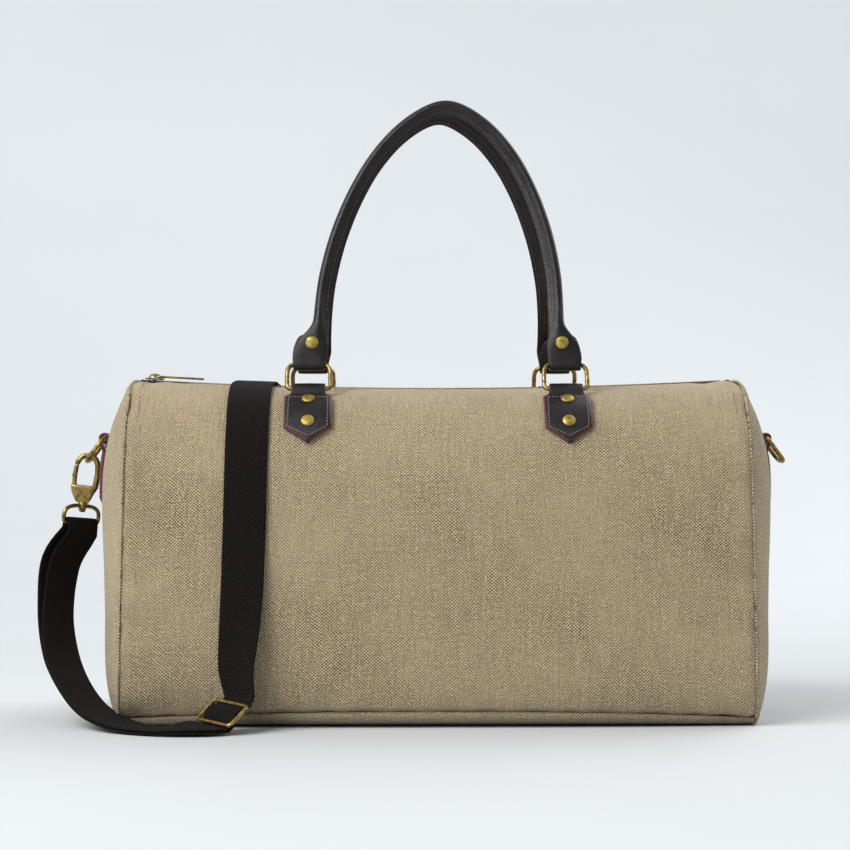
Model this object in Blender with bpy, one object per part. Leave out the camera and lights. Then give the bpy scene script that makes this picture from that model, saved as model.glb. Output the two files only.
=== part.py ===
"""Canvas weekender duffel bag with leather handles, brass hardware and a webbing shoulder strap.

Units are metres, +Z is up and the origin is at the centre of the base, on the floor.
+X runs along the bag to its right end and -Y is the front.
"""

import math

import bmesh
import bpy
from mathutils import Matrix, Vector

# Bag body
BAG_LENGTH = 0.471
BAG_DEPTH = 0.244
BAG_HEIGHT = 0.2545
END_BULGE = 0.0245
END_TAPER = 0.008
MOUTH_RISE = 0.0066
WIDEST_HEIGHT = 0.120
SHOULDER_POWER = 3.5
FOOT_POWER = 9.0
SEAM_HEIGHT = 0.012
SEAM_DROP = 0.006
BASE_FLAT = 0.090
PANEL_WALL = 0.0016
BASE_WALL = 0.0020
LINING_WALL = 0.0008
BOARD_WALL = 0.0024
BOARD_MARGIN = 0.020
GAP = 0.0003
LINING_GAP = 0.0006

# Zip
MOUTH_WIDTH = 0.021
ZIP_END_MARGIN = 0.004
TAPE_WIDTH = 0.0152
TAPE_WALL = 0.0008
TEETH_WIDTH = 0.0024
TEETH_WALL = 0.0022
TEETH_GAP = 0.0024
STOP_LENGTH = 0.003
SLIDER_LENGTH = 0.014
SLIDER_WIDTH = 0.011
SLIDER_PLATE = 0.0012
PULL_LENGTH = 0.030
PULL_WIDTH = 0.0065

# Rings and the tabs that hold them
WIRE = 0.0035
RING_WIDTH = 0.0365
RING_HEIGHT = 0.026
HANDLE_SPACING = 0.196
RING_PIVOT_Y = 0.070
RING_LEAN = math.radians(30)
LEATHER = 0.0018
TAB_WIDTH = 0.036
TAB_NECK = 0.0254
TAB_LENGTH = 0.056
TAB_POINT = 0.012
SIDE_TAB_WIDTH = 0.030
SIDE_TAB_LENGTH = 0.050
SIDE_RING_HEIGHT = 0.2145
SIDE_RING_DROP = math.radians(53)

# Rivets
RIVET_HEAD = 0.010
RIVET_RISE = 0.0022
TAB_RIVETS = (0.0165, 0.0395)

# Handles
HANDLE_LEAN = math.radians(13)
HANDLE_RISE = 0.2017
HANDLE_ROLL = 0.012
HANDLE_THICK = 0.0085
PADDLE_WIDTH = 0.030
FOLD_WIDTH = 0.024
FOLD_LEATHER = 0.0020
FOLD_CLEARANCE = 0.0008
HANDLE_RIVET_RISE = 0.0150

# Shoulder strap
WEBBING_WIDTH = 0.032
WEBBING = 0.0018
LAYER_GAP = 0.0004
EYE_WIDTH = 0.0405
EYE_HEIGHT = 0.0165
EYE_WIRE = 0.0032
HOOK_WIDTH = 0.0215
HOOK_LENGTH = 0.039
HOOK_WIRE = 0.0040
HOOK_BODY = 0.013
POST_RADIUS = 0.0018
POST_CLEARANCE = 0.0003
SLIDER_FRAME_WIDTH = 0.0395
SLIDER_FRAME_LENGTH = 0.0245
SLIDER_WIRE = 0.0030

HALF_LENGTH = BAG_LENGTH / 2
ZIP_HALF = HALF_LENGTH - ZIP_END_MARGIN
MOUTH_RADIUS = (ZIP_HALF**2 + MOUTH_RISE**2) / (2 * MOUTH_RISE)
X_AXIS = Vector((1, 0, 0))
Y_AXIS = Vector((0, 1, 0))
Z_AXIS = Vector((0, 0, 1))


# ---------------------------------------------------------------- finishes

FINISHES = {
    "canvas": ((0.42, 0.34, 0.23), 0.9, 0.0),
    "lining": ((0.20, 0.16, 0.11), 0.9, 0.0),
    "board": ((0.30, 0.22, 0.13), 0.8, 0.0),
    "leather": ((0.045, 0.030, 0.028), 0.45, 0.0),
    "webbing": ((0.035, 0.026, 0.025), 0.9, 0.0),
    "tape": ((0.05, 0.035, 0.03), 0.9, 0.0),
    "rivet_brass": ((0.42, 0.32, 0.10), 0.35, 1.0),
    "antique_brass": ((0.26, 0.18, 0.06), 0.4, 1.0),
}


def finish(name):
    """The material of this name, made the first time it is asked for."""
    found = bpy.data.materials.get(name)
    if found:
        return found
    colour, roughness, metallic = FINISHES[name]
    made = bpy.data.materials.new(name)
    made.use_nodes = True
    shader = made.node_tree.nodes["Principled BSDF"]
    shader.inputs["Base Color"].default_value = (*colour, 1)
    shader.inputs["Roughness"].default_value = roughness
    shader.inputs["Metallic"].default_value = metallic
    return made


# ---------------------------------------------------------------- mesh tools


def add_object(name, mesh, material, pivot=None):
    """Links a mesh, given in world coordinates, as an object whose origin is at pivot."""
    if pivot is not None:
        mesh.transform(Matrix.Translation(-Vector(pivot)))
    made = bpy.data.objects.new(name, mesh)
    made.location = pivot or (0, 0, 0)
    mesh.materials.append(finish(material))
    bpy.context.scene.collection.objects.link(made)
    for polygon in mesh.polygons:
        polygon.use_smooth = True
    mesh.set_sharp_from_angle(angle=math.radians(40))
    return made


def mesh_from(vertices, faces, name):
    """A mesh from points and faces, with doubled points merged."""
    shape = bmesh.new()
    corners = [shape.verts.new(point) for point in vertices]
    for face in faces:
        shape.faces.new([corners[i] for i in face])
    bmesh.ops.remove_doubles(shape, verts=shape.verts, dist=1e-6)
    bmesh.ops.recalc_face_normals(shape, faces=shape.faces)
    mesh = bpy.data.meshes.new(name)
    shape.to_mesh(mesh)
    shape.free()
    return mesh


def loft(name, loops, closed=False):
    """A closed skin over loops of equal length, capped unless it runs round on itself."""
    count = len(loops[0])
    vertices = [point for loop in loops for point in loop]
    faces = []
    spans = len(loops) if closed else len(loops) - 1
    for row in range(spans):
        after = (row + 1) % len(loops)
        for i in range(count):
            k = (i + 1) % count
            faces.append((row * count + i, row * count + k, after * count + k, after * count + i))
    if not closed:
        faces.append(tuple(range(count)))
        faces.append(tuple(range((len(loops) - 1) * count, len(loops) * count)))
    return mesh_from(vertices, faces, name)


def tube(name, points, radius, closed=False, sides=8):
    """A round bar along points, from a bevelled curve with filled caps. radius may be a list."""
    curve = bpy.data.curves.new(name + "_path", "CURVE")
    curve.dimensions = "3D"
    curve.bevel_depth = 1.0
    curve.bevel_resolution = (sides - 4) // 2
    curve.use_fill_caps = not closed
    curve.twist_mode = "MINIMUM"
    spline = curve.splines.new("POLY")
    spline.points.add(len(points) - 1)
    radii = radius if isinstance(radius, list) else [radius] * len(points)
    for point, place, size in zip(spline.points, points, radii):
        point.co = (*place, 1)
        point.radius = size
    spline.use_cyclic_u = closed
    guide = bpy.data.objects.new(name + "_path", curve)
    bpy.context.scene.collection.objects.link(guide)
    bpy.context.view_layer.update()
    evaluated = guide.evaluated_get(bpy.context.evaluated_depsgraph_get())
    mesh = bpy.data.meshes.new_from_object(evaluated)
    bpy.data.objects.remove(guide)
    shape = bmesh.new()
    shape.from_mesh(mesh)
    bmesh.ops.remove_doubles(shape, verts=shape.verts, dist=1e-6)
    bmesh.ops.recalc_face_normals(shape, faces=shape.faces)
    shape.to_mesh(mesh)
    shape.free()
    mesh.materials.clear()
    return mesh


def combine(mesh, other, operation):
    """The Boolean of two meshes, by the EXACT solver."""
    scene = bpy.context.scene.collection
    base = bpy.data.objects.new("base", mesh)
    tool = bpy.data.objects.new("tool", other)
    scene.objects.link(base)
    scene.objects.link(tool)
    step = base.modifiers.new("combine", "BOOLEAN")
    step.operation = operation
    step.solver = "EXACT"
    step.object = tool
    bpy.context.view_layer.update()
    result = bpy.data.meshes.new_from_object(
        base.evaluated_get(bpy.context.evaluated_depsgraph_get())
    )
    bpy.data.objects.remove(base)
    bpy.data.objects.remove(tool)
    result.materials.clear()
    return result


def block(name, low, high, bevel=0.0):
    """A box between two corners, with its edges bevelled."""
    shape = bmesh.new()
    bmesh.ops.create_cube(shape, size=1)
    size = Vector(high) - Vector(low)
    middle = (Vector(high) + Vector(low)) / 2
    bmesh.ops.scale(shape, vec=size, verts=shape.verts)
    bmesh.ops.translate(shape, vec=middle, verts=shape.verts)
    if bevel:
        bmesh.ops.bevel(
            shape, geom=list(shape.edges), offset=bevel, segments=1, affect="EDGES"
        )
    mesh = bpy.data.meshes.new(name)
    shape.to_mesh(mesh)
    shape.free()
    return mesh


def turned(name, profile, centre, axis, sides=16):
    """A solid of revolution: (radius, height) pairs about axis through centre, radius 0 at both ends."""
    axis = Vector(axis).normalized()
    side = axis.orthogonal().normalized()
    other = axis.cross(side)
    loops = []
    for radius, height in profile:
        size = max(radius, 1e-5)
        loops.append(
            [
                Vector(centre)
                + axis * height
                + size * (side * math.cos(a) + other * math.sin(a))
                for a in (2 * math.pi * i / sides for i in range(sides))
            ]
        )
    return loft(name, loops)


def smooth_path(points, step):
    """Points about a step apart on the Catmull-Rom curve through the given vectors of any size."""
    padded = [points[0]] + list(points) + [points[-1]]
    made = []
    for i in range(1, len(padded) - 2):
        p0, p1, p2, p3 = padded[i - 1 : i + 3]
        length = math.dist(p1[:3], p2[:3])
        count = max(1, round(length / step))
        for k in range(count):
            t = k / count
            made.append(
                tuple(
                    0.5
                    * (
                        2 * b
                        + (c - a) * t
                        + (2 * a - 5 * b + 4 * c - d) * t * t
                        + (3 * b - a - 3 * c + d) * t**3
                    )
                    for a, b, c, d in zip(p0, p1, p2, p3)
                )
            )
    made.append(tuple(points[-1]))
    return made


def band_section(centre, across, outward, width, thickness):
    """The eight corners of a flat band's section, with its edges eased."""
    ease = 0.28 * min(width, thickness)
    w = width / 2
    t = thickness / 2
    corners = [
        (w, t - ease),
        (w - ease, t),
        (ease - w, t),
        (-w, t - ease),
        (-w, ease - t),
        (ease - w, -t),
        (w - ease, -t),
        (w, ease - t),
    ]
    return [centre + across * a + outward * b for a, b in corners]


# ---------------------------------------------------------------- the bag's surfaces


def mouth_lift(x):
    """How far the mouth line stands above its middle at x: an arc that sags between the ends."""
    return MOUTH_RADIUS - math.sqrt(MOUTH_RADIUS**2 - x * x)


def half_depth(x):
    return BAG_DEPTH / 2 - END_TAPER * abs(x / HALF_LENGTH) ** 3


def mouth_height(x):
    return BAG_HEIGHT + mouth_lift(x)


def seam_height(x):
    """Height of the seam between a side panel and the base panel."""
    return SEAM_HEIGHT - SEAM_DROP * abs(x / HALF_LENGTH) ** 2.5


def foot_point(x, z, inset=0.0, floor=0.0):
    """(y, z) of the lower half of the cross-section at height z."""
    fall = WIDEST_HEIGHT - floor
    share = min(1.0, (WIDEST_HEIGHT - z) / fall)
    return (half_depth(x) - inset) * (1 - share**FOOT_POWER) ** (1 / FOOT_POWER), z


def shoulder_point(x, angle, inset=0.0):
    """(y, z) of the upper half of the cross-section, at a polar angle above the widest line."""
    cosine = math.cos(angle)
    sine = math.sin(angle)
    reach = (cosine**SHOULDER_POWER + sine**SHOULDER_POWER) ** (-1 / SHOULDER_POWER)
    rise = mouth_height(x) - WIDEST_HEIGHT - inset
    return (half_depth(x) - inset) * reach * cosine, WIDEST_HEIGHT + rise * reach * sine


def mouth_angle(x, edge, inset=0.0):
    """The polar angle at which the shoulder comes to y = edge."""
    low, high = 0.5, math.pi / 2
    for _ in range(40):
        middle = (low + high) / 2
        if shoulder_point(x, middle, inset)[0] > edge:
            low = middle
        else:
            high = middle
    return low


def half_section(x, edge, inset=0.0, floor=0.0, bottom=None, foot_steps=4, steps=11):
    """(y, z) points up one side of the bag, from the base seam to y = edge at the mouth."""
    start = seam_height(x) if bottom is None else bottom
    points = []
    for i in range(foot_steps):
        z = start + (WIDEST_HEIGHT - start) * (i / foot_steps) ** 1.6
        points.append(foot_point(x, z, inset, floor))
    end = mouth_angle(x, edge, inset)
    for i in range(steps + 1):
        points.append(shoulder_point(x, end * i / steps, inset))
    return points


def solidified(mesh, wall):
    """Gives an open skin its thickness, inward from its outer face, by a Solidify modifier."""
    guide = bpy.data.objects.new("skin", mesh)
    bpy.context.scene.collection.objects.link(guide)
    step = guide.modifiers.new("wall", "SOLIDIFY")
    step.thickness = wall
    step.offset = -1
    step.use_even_offset = True
    bpy.context.view_layer.update()
    evaluated = guide.evaluated_get(bpy.context.evaluated_depsgraph_get())
    result = bpy.data.meshes.new_from_object(evaluated)
    bpy.data.objects.remove(guide)
    result.materials.clear()
    return result


def skin(name, rows, outward):
    """An open grid of quads over rows of points, facing away from the point outward."""
    width = len(rows[0])
    shape = bmesh.new()
    corners = [[shape.verts.new(point) for point in row] for row in rows]
    for upper, lower in zip(corners, corners[1:]):
        for i in range(width - 1):
            shape.faces.new((upper[i], upper[i + 1], lower[i + 1], lower[i]))
    shape.normal_update()
    middle = list(shape.faces)[len(shape.faces) // 2]
    if middle.normal.dot(middle.calc_center_median() - Vector(outward)) < 0:
        bmesh.ops.reverse_faces(shape, faces=shape.faces)
    mesh = bpy.data.meshes.new(name)
    shape.to_mesh(mesh)
    shape.free()
    return mesh


BODY_COLUMNS = 18
BODY_CENTRE = (0, 0, WIDEST_HEIGHT)


def columns(half, count=BODY_COLUMNS):
    return [half * (2 * i / count - 1) for i in range(count + 1)]


def side_panel(name, side):
    """The front or back canvas panel, from the base seam over the shoulder to the mouth."""
    rows = []
    for x in columns(HALF_LENGTH):
        section = half_section(x, MOUTH_WIDTH / 2)
        rows.append([(x, side * y, z) for y, z in section])
    mesh = solidified(skin(name, rows, BODY_CENTRE), PANEL_WALL)
    return add_object(name, mesh, "canvas")


def base_section(x, clear=GAP):
    """(y, z) points under the bag from the front seam to the back seam."""
    top = seam_height(x) - clear
    rising = []
    for share in (0.0, 0.12, 0.3, 0.55, 0.8, 1.0):
        z = top * share**1.5
        y = BASE_FLAT + (foot_point(x, top)[0] - BASE_FLAT) * (1 - (1 - share) ** 2.2)
        rising.append((y, z))
    left = [(-y, z) for y, z in reversed(rising)]
    return left + [(0.0, 0.0)] + rising


def base_panel():
    rows = [[(x, y, z) for y, z in base_section(x)] for x in columns(HALF_LENGTH, 12)]
    mesh = solidified(skin("base_panel", rows, BODY_CENTRE), BASE_WALL)
    return add_object("base_panel", mesh, "canvas")


def end_bulge(height, share):
    """How far an end panel stands out at a share of the way from its middle to its rim."""
    return END_BULGE * (1 - share**4) * (1 - 0.10 * (height / BAG_HEIGHT))


def end_outline(x, inset=0.0):
    """The closed (y, z) outline of the bag's section at x."""
    up = half_section(x, MOUTH_WIDTH / 2, foot_steps=3, steps=9)
    floor = base_section(x)[1:-1]
    down = [(-y, z) for y, z in reversed(up)]
    loop = floor + up + [(0.0, mouth_height(x))] + down
    middle = Vector((0.0, WIDEST_HEIGHT))
    shrunk = []
    for y, z in loop:
        away = Vector((y, z)) - middle
        shrunk.append(tuple(middle + away * (1 - inset / away.length)))
    return shrunk


END_RINGS = (1.0, 0.93, 0.82, 0.66, 0.46, 0.24)


def end_face(side, share, y, z):
    """A point on the outer face of an end panel, where (y, z) lies on its rim."""
    height = WIDEST_HEIGHT + (z - WIDEST_HEIGHT) * share
    x = HALF_LENGTH + GAP + PANEL_WALL + end_bulge(height, share)
    return Vector((side * x, y * share, height))


def end_panel(name, side):
    """A pillowed end panel, its inner face set in along X by the wall."""
    outline = end_outline(HALF_LENGTH)
    count = len(outline)
    outer = [[end_face(side, share, y, z) for y, z in outline] for share in END_RINGS]
    pole = end_face(side, 0.0, 0.0, 0.0)
    shift = Vector((-side * PANEL_WALL, 0, 0))
    vertices = [point for ring in outer for point in ring] + [pole]
    total = len(vertices)
    vertices += [point + shift for point in vertices]
    faces = []
    for layer in (0, total):
        for r in range(len(outer) - 1):
            for i in range(count):
                k = (i + 1) % count
                a = layer + r * count
                faces.append((a + i, a + k, a + count + k, a + count + i))
        last = layer + (len(outer) - 1) * count
        for i in range(count):
            faces.append((last + i, last + (i + 1) % count, layer + total - 1))
    for i in range(count):
        k = (i + 1) % count
        faces.append((i, k, total + k, total + i))
    return add_object(name, mesh_from(vertices, faces, name), "canvas")


def end_surface_x(z):
    """X of the outer face of the right end panel on the bag's centre line, at height z."""
    top = mouth_height(HALF_LENGTH)
    share = (z - WIDEST_HEIGHT) / (top - WIDEST_HEIGHT)
    return HALF_LENGTH + GAP + PANEL_WALL + end_bulge(z, share)


def lining():
    """The inner bag: one thin skin with a long slot at the mouth, where it is sewn to the zip."""
    inset = PANEL_WALL + LINING_GAP
    floor = BASE_WALL + BOARD_WALL + 4 * GAP
    edge = MOUTH_WIDTH / 2 + TAPE_WIDTH - 0.004
    half = HALF_LENGTH - 2 * GAP
    loops = []
    for x in columns(half, 10):
        up = half_section(x, edge, inset, floor, bottom=floor + 0.010, foot_steps=3, steps=7)
        base = [(-y, floor) for y in (0.96 * BASE_FLAT, 0.0)] + [(0.96 * BASE_FLAT, floor)]
        loops.append([(x, y, z) for y, z in [(-y, z) for y, z in reversed(up)] + base + up])
    shape = bmesh.new()
    rows = [[shape.verts.new(point) for point in loop] for loop in loops]
    count = len(loops[0])
    for before, after in zip(rows, rows[1:]):
        for i in range(count - 1):
            shape.faces.new((before[i], before[i + 1], after[i + 1], after[i]))
    for row, side in ((rows[0], -1), (rows[-1], 1)):
        ring = row
        for share in (0.75, 0.4):
            inner = []
            for i in range(count):
                y, z = row[i].co.y, row[i].co.z
                height = WIDEST_HEIGHT + (z - WIDEST_HEIGHT) * share
                x = half + 0.8 * end_bulge(height, share)
                inner.append(shape.verts.new((side * x, y * share, height)))
            for i in range(count):
                k = (i + 1) % count
                shape.faces.new((ring[i], ring[k], inner[k], inner[i]))
            ring = inner
        shape.faces.new(ring)
    bmesh.ops.recalc_face_normals(shape, faces=shape.faces)
    shape.normal_update()
    lowest = min(shape.faces, key=lambda face: face.calc_center_median().z)
    if lowest.normal.z > 0:
        bmesh.ops.reverse_faces(shape, faces=shape.faces)
    mesh = bpy.data.meshes.new("lining")
    shape.to_mesh(mesh)
    shape.free()
    return add_object("lining", solidified(mesh, LINING_WALL), "lining")


def base_board():
    """The stiffener between the base panel and the lining."""
    low = (BOARD_MARGIN - HALF_LENGTH, 0.002 - BASE_FLAT, BASE_WALL + GAP)
    high = (HALF_LENGTH - BOARD_MARGIN, BASE_FLAT - 0.002, BASE_WALL + GAP + BOARD_WALL)
    return add_object("base_board", block("base_board", low, high, 0.0006), "board")


# ---------------------------------------------------------------- zip


TEETH_TOP = 0.0008
TEETH_BOTTOM = TEETH_TOP - TEETH_WALL
TEETH_INNER = TEETH_GAP / 2
TEETH_OUTER = TEETH_INNER + TEETH_WIDTH


def strip_along_mouth(name, profile, half, material, count=16):
    """A strip whose (y, height above the mouth line) profile is swept along the mouth."""
    loops = []
    for x in columns(half, count):
        loops.append([(x, y, mouth_height(x) + h) for y, h in profile])
    return add_object(name, loft(name, loops), material)


def zip_tape(name, side):
    """Woven tape, from beside the teeth down under the panel's edge."""
    under = -(PANEL_WALL + 2 * GAP + TAPE_WALL)
    inner = TEETH_OUTER + GAP
    edge = MOUTH_WIDTH / 2 - 0.001
    outer = inner + TAPE_WIDTH
    centre = TEETH_TOP - TEETH_WALL / 2
    droop = shoulder_point(0, mouth_angle(0, outer))[1] - BAG_HEIGHT
    top = [(inner, centre + TAPE_WALL / 2), (edge, under + TAPE_WALL), (outer, under + droop)]
    bottom = [(y, h - TAPE_WALL) for y, h in reversed(top)]
    profile = [(side * y, h) for y, h in top + bottom]
    return strip_along_mouth(name, profile, ZIP_HALF, "tape")


def zip_teeth(name, side):
    """One row of teeth as a plain rail of their outer size."""
    profile = [
        (side * TEETH_INNER, TEETH_BOTTOM),
        (side * TEETH_OUTER, TEETH_BOTTOM),
        (side * TEETH_OUTER, TEETH_TOP),
        (side * TEETH_INNER, TEETH_TOP),
    ]
    return strip_along_mouth(name, profile, ZIP_HALF - STOP_LENGTH - GAP, "antique_brass")


def zip_stop(name, side):
    """The metal stop across the teeth at one end of the zip."""
    outer = side * ZIP_HALF
    inner = side * (ZIP_HALF - STOP_LENGTH)
    level = mouth_height(ZIP_HALF - STOP_LENGTH / 2)
    low = (min(outer, inner), -TEETH_OUTER, level + TEETH_BOTTOM)
    high = (max(outer, inner), TEETH_OUTER, level + TEETH_TOP)
    return add_object(name, block(name, low, high, 0.0004), "antique_brass")


SLIDER_X = -(ZIP_HALF - STOP_LENGTH - 2 * GAP - SLIDER_LENGTH / 2)
SLIDER_LEVEL = mouth_height(SLIDER_X)
BAIL_RISE = 0.0030
BAIL_WIRE = 0.0011
PULL_WALL = 0.0012
SLIDER_TOP = TEETH_TOP + GAP + SLIDER_PLATE


def along_mouth(mesh, x):
    """Tilts a mesh modelled level at x to the slope of the mouth line there."""
    slope = math.asin(x / MOUTH_RADIUS)
    centre = Vector((x, 0, mouth_height(x)))
    turn = Matrix.Translation(centre) @ Matrix.Rotation(-slope, 4, "Y")
    mesh.transform(turn @ Matrix.Translation(-centre))
    return mesh


def zip_slider():
    """Two plates joined by the post between the rows, with the bail that holds the pull."""
    x = SLIDER_X
    half = SLIDER_LENGTH / 2
    wide = SLIDER_WIDTH / 2
    z = SLIDER_LEVEL
    top_low = z + TEETH_TOP + GAP
    bottom_high = z + TEETH_BOTTOM - GAP
    sag = half * half / MOUTH_RADIUS
    mesh = block(
        "slider",
        (x - half, -wide, top_low),
        (x + half, wide, top_low + SLIDER_PLATE),
        0.0004,
    )
    lower = block(
        "lower",
        (x - half, -wide, bottom_high - SLIDER_PLATE - sag),
        (x + half, wide, bottom_high - sag),
        0.0004,
    )
    post_half = TEETH_INNER - 0.0004
    post = block(
        "post",
        (x - 0.003, -post_half, bottom_high - SLIDER_PLATE / 2),
        (x + 0.003, post_half, top_low + SLIDER_PLATE / 2),
    )
    base = top_low + SLIDER_PLATE
    bail_points = [
        (x - 0.0045, 0, base - 0.0005),
        (x - 0.0040, 0, base + 0.6 * BAIL_RISE),
        (x - 0.0022, 0, base + BAIL_RISE),
        (x + 0.0022, 0, base + BAIL_RISE),
        (x + 0.0040, 0, base + 0.6 * BAIL_RISE),
        (x + 0.0045, 0, base - 0.0005),
    ]
    bail = tube("bail", bail_points, BAIL_WIRE / 2, sides=6)
    mesh = combine(mesh, post, "UNION")
    mesh = combine(mesh, lower, "UNION")
    mesh = combine(mesh, bail, "UNION")
    pivot = Vector((0, 0, BAG_HEIGHT + MOUTH_RADIUS))
    return add_object("zip_slider", along_mouth(mesh, x), "antique_brass", pivot)


PULL_PIVOT = Vector((SLIDER_X, 0, SLIDER_LEVEL + SLIDER_TOP + 0.45 * BAIL_RISE))


def zip_pull():
    """A ring through the bail with a flat bar on it, lying along the zip."""
    reach = 0.0042
    wide = 0.0030
    link = 0.0007
    z = PULL_PIVOT.z
    x = SLIDER_X
    ring = [
        (x + reach * math.cos(a), wide * math.sin(a), z)
        for a in (2 * math.pi * i / 14 for i in range(14))
    ]
    shift = Vector((reach, 0, 0))
    mesh = tube("pull_ring", [Vector(p) + shift for p in ring], link, closed=True, sides=6)
    start = x + shift.x + reach - link / 2
    bar = block(
        "pull_bar",
        (start, -PULL_WIDTH / 2, z - PULL_WALL / 2),
        (start + PULL_LENGTH, PULL_WIDTH / 2, z + PULL_WALL / 2),
        0.0003,
    )
    mesh = combine(mesh, bar, "UNION")
    return add_object("zip_pull", along_mouth(mesh, SLIDER_X), "antique_brass", PULL_PIVOT)


# ---------------------------------------------------------------- rings, tabs and rivets


class Surface:
    """A line over the bag's outside, read by the distance along it from a named point."""

    def __init__(self, points, zero, across):
        self.points = [Vector(point) for point in points]
        self.across = Vector(across)
        self.lengths = [0.0]
        for before, after in zip(self.points, self.points[1:]):
            self.lengths.append(self.lengths[-1] + (after - before).length)
        nearest = min(self.points, key=lambda point: (point - Vector(zero)).length)
        self.zero = self.lengths[self.points.index(nearest)]

    def at(self, distance):
        """(point, tangent, normal) at a distance; the line runs on straight past its ends."""
        target = distance + self.zero
        index = 0
        while index < len(self.lengths) - 2 and self.lengths[index + 1] < target:
            index += 1
        a, b = self.points[index], self.points[index + 1]
        share = (target - self.lengths[index]) / (self.lengths[index + 1] - self.lengths[index])
        tangent = (b - a).normalized()
        return a + (b - a) * share, tangent, self.across.cross(tangent).normalized()

    def place(self, distance, height):
        point, _, normal = self.at(distance)
        return point + normal * height


def shoulder_line(x, side):
    """The line over the shoulder at x, from near the mouth down the panel."""
    start = mouth_angle(x, 0.030)
    fine = 60
    points = []
    for i in range(fine + 1):
        y, z = shoulder_point(x, start * (1 - i / fine))
        points.append((x, side * y, z))
    y0 = RING_PIVOT_Y
    zero = min(points, key=lambda point: abs(abs(point[1]) - y0))
    return Surface(points, zero, (side * 1.0, 0, 0))


def end_line(side):
    """The line down the middle of an end panel."""
    fine = 60
    top = mouth_height(HALF_LENGTH) - 0.006
    points = []
    for i in range(fine + 1):
        z = top - (top - WIDEST_HEIGHT) * i / fine
        points.append((side * end_surface_x(z), 0, z))
    zero = min(points, key=lambda point: abs(point[2] - SIDE_RING_HEIGHT))
    return Surface(points, zero, (0, -side * 1.0, 0))


BAR_HEIGHT = 3 * GAP + LEATHER + WIRE / 2
LOOP_RADIUS = WIRE / 2 + 2 * GAP + LEATHER / 2


def leather_tab(name, line, width, length, point):
    """A folded leather tab: it loops round the ring's bar, and its two layers lie sewn together below."""
    under = GAP + LEATHER / 2
    body = GAP + LEATHER
    stations = [(0.0066, under, TAB_NECK, LEATHER, 90)]
    stations.append((0.0030, under, TAB_NECK, LEATHER, 90))
    for step in range(9):
        angle = math.radians(-90 - 22.5 * step)
        s = LOOP_RADIUS * math.cos(angle)
        h = BAR_HEIGHT + LOOP_RADIUS * math.sin(angle)
        stations.append((s, h, TAB_NECK, LEATHER, 0))
    stations.append((0.0050, BAR_HEIGHT + 0.55 * LOOP_RADIUS, TAB_NECK, LEATHER, 0))
    stations.append((0.0085, body + 0.0014, TAB_NECK + 0.002, LEATHER, 0))
    stations.append((0.0102, body, 0.93 * width, 2 * LEATHER, 0))
    stations.append((0.0120, body, width, 2 * LEATHER, 0))
    straight = length - point
    for share in (0.25, 0.5, 0.75, 1.0):
        stations.append((0.0120 + (straight - 0.0120) * share, body, width, 2 * LEATHER, 0))
    for share in (0.5, 1.0):
        narrow = width * (1 - share) + 0.0015 * share
        stations.append((straight + point * share, body, narrow, 2 * LEATHER, 0))
    centres = [line.place(s, h) for s, h, *_ in stations]
    loops = []
    for i, (_, _, wide, thick, _) in enumerate(stations):
        before = centres[max(i - 1, 0)]
        after = centres[min(i + 1, len(centres) - 1)]
        tangent = (after - before).normalized()
        outward = line.across.cross(tangent).normalized()
        loops.append(band_section(centres[i], line.across, outward, wide, thick))
    return add_object(name, loft(name, loops), "leather")


def ring_path(origin, across, up):
    """The closed centre line of a ring's wire: a straight bar at the bottom and an arched top."""
    half = (RING_WIDTH - WIRE) / 2
    tall = RING_HEIGHT - WIRE
    corner = 0.0035
    shape = []
    for share in (-1.0, -0.5, 0.0, 0.5, 1.0):
        shape.append(((half - corner) * share, 0.0))
    for degrees in (-45, -8):
        a = math.radians(degrees)
        shape.append((half - corner + corner * math.cos(a), corner + corner * math.sin(a)))
    arch = tall - 0.4 * tall
    for i in range(13):
        a = math.pi * i / 12
        c, s = math.cos(a), math.sin(a)
        r = (abs(c) ** 4 + s**4) ** -0.25
        shape.append((half * r * c, 0.4 * tall + arch * r * s))
    for degrees in (188, 225):
        a = math.radians(degrees)
        shape.append((corner - half + corner * math.cos(a), corner + corner * math.sin(a)))
    return [origin + across * a + up * b for a, b in shape]


def ring(name, origin, across, up):
    """A wire ring whose origin is on its bar, where it turns in the leather loop."""
    mesh = tube(name, ring_path(origin, across, up), WIRE / 2, closed=True, sides=8)
    return add_object(name, mesh, "antique_brass", origin)


def rivet(name, base, outward, parent=None, pivot=None):
    """A domed rivet head, standing on the leather."""
    radius = RIVET_HEAD / 2
    profile = [
        (0.0, 0.0),
        (0.80 * radius, 0.0),
        (radius, 0.25 * RIVET_RISE),
        (radius, 0.55 * RIVET_RISE),
        (0.75 * radius, 0.86 * RIVET_RISE),
        (0.35 * radius, 0.98 * RIVET_RISE),
        (0.0, RIVET_RISE),
    ]
    mesh = turned(name, profile, base, outward, sides=14)
    made = add_object(name, mesh, "rivet_brass", pivot)
    if parent:
        attach(made, parent)
    return made


def attach(child, parent):
    """Parents an object and keeps it where it is."""
    bpy.context.view_layer.update()
    child.parent = parent
    child.matrix_parent_inverse = parent.matrix_world.inverted()


# ---------------------------------------------------------------- handles


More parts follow.
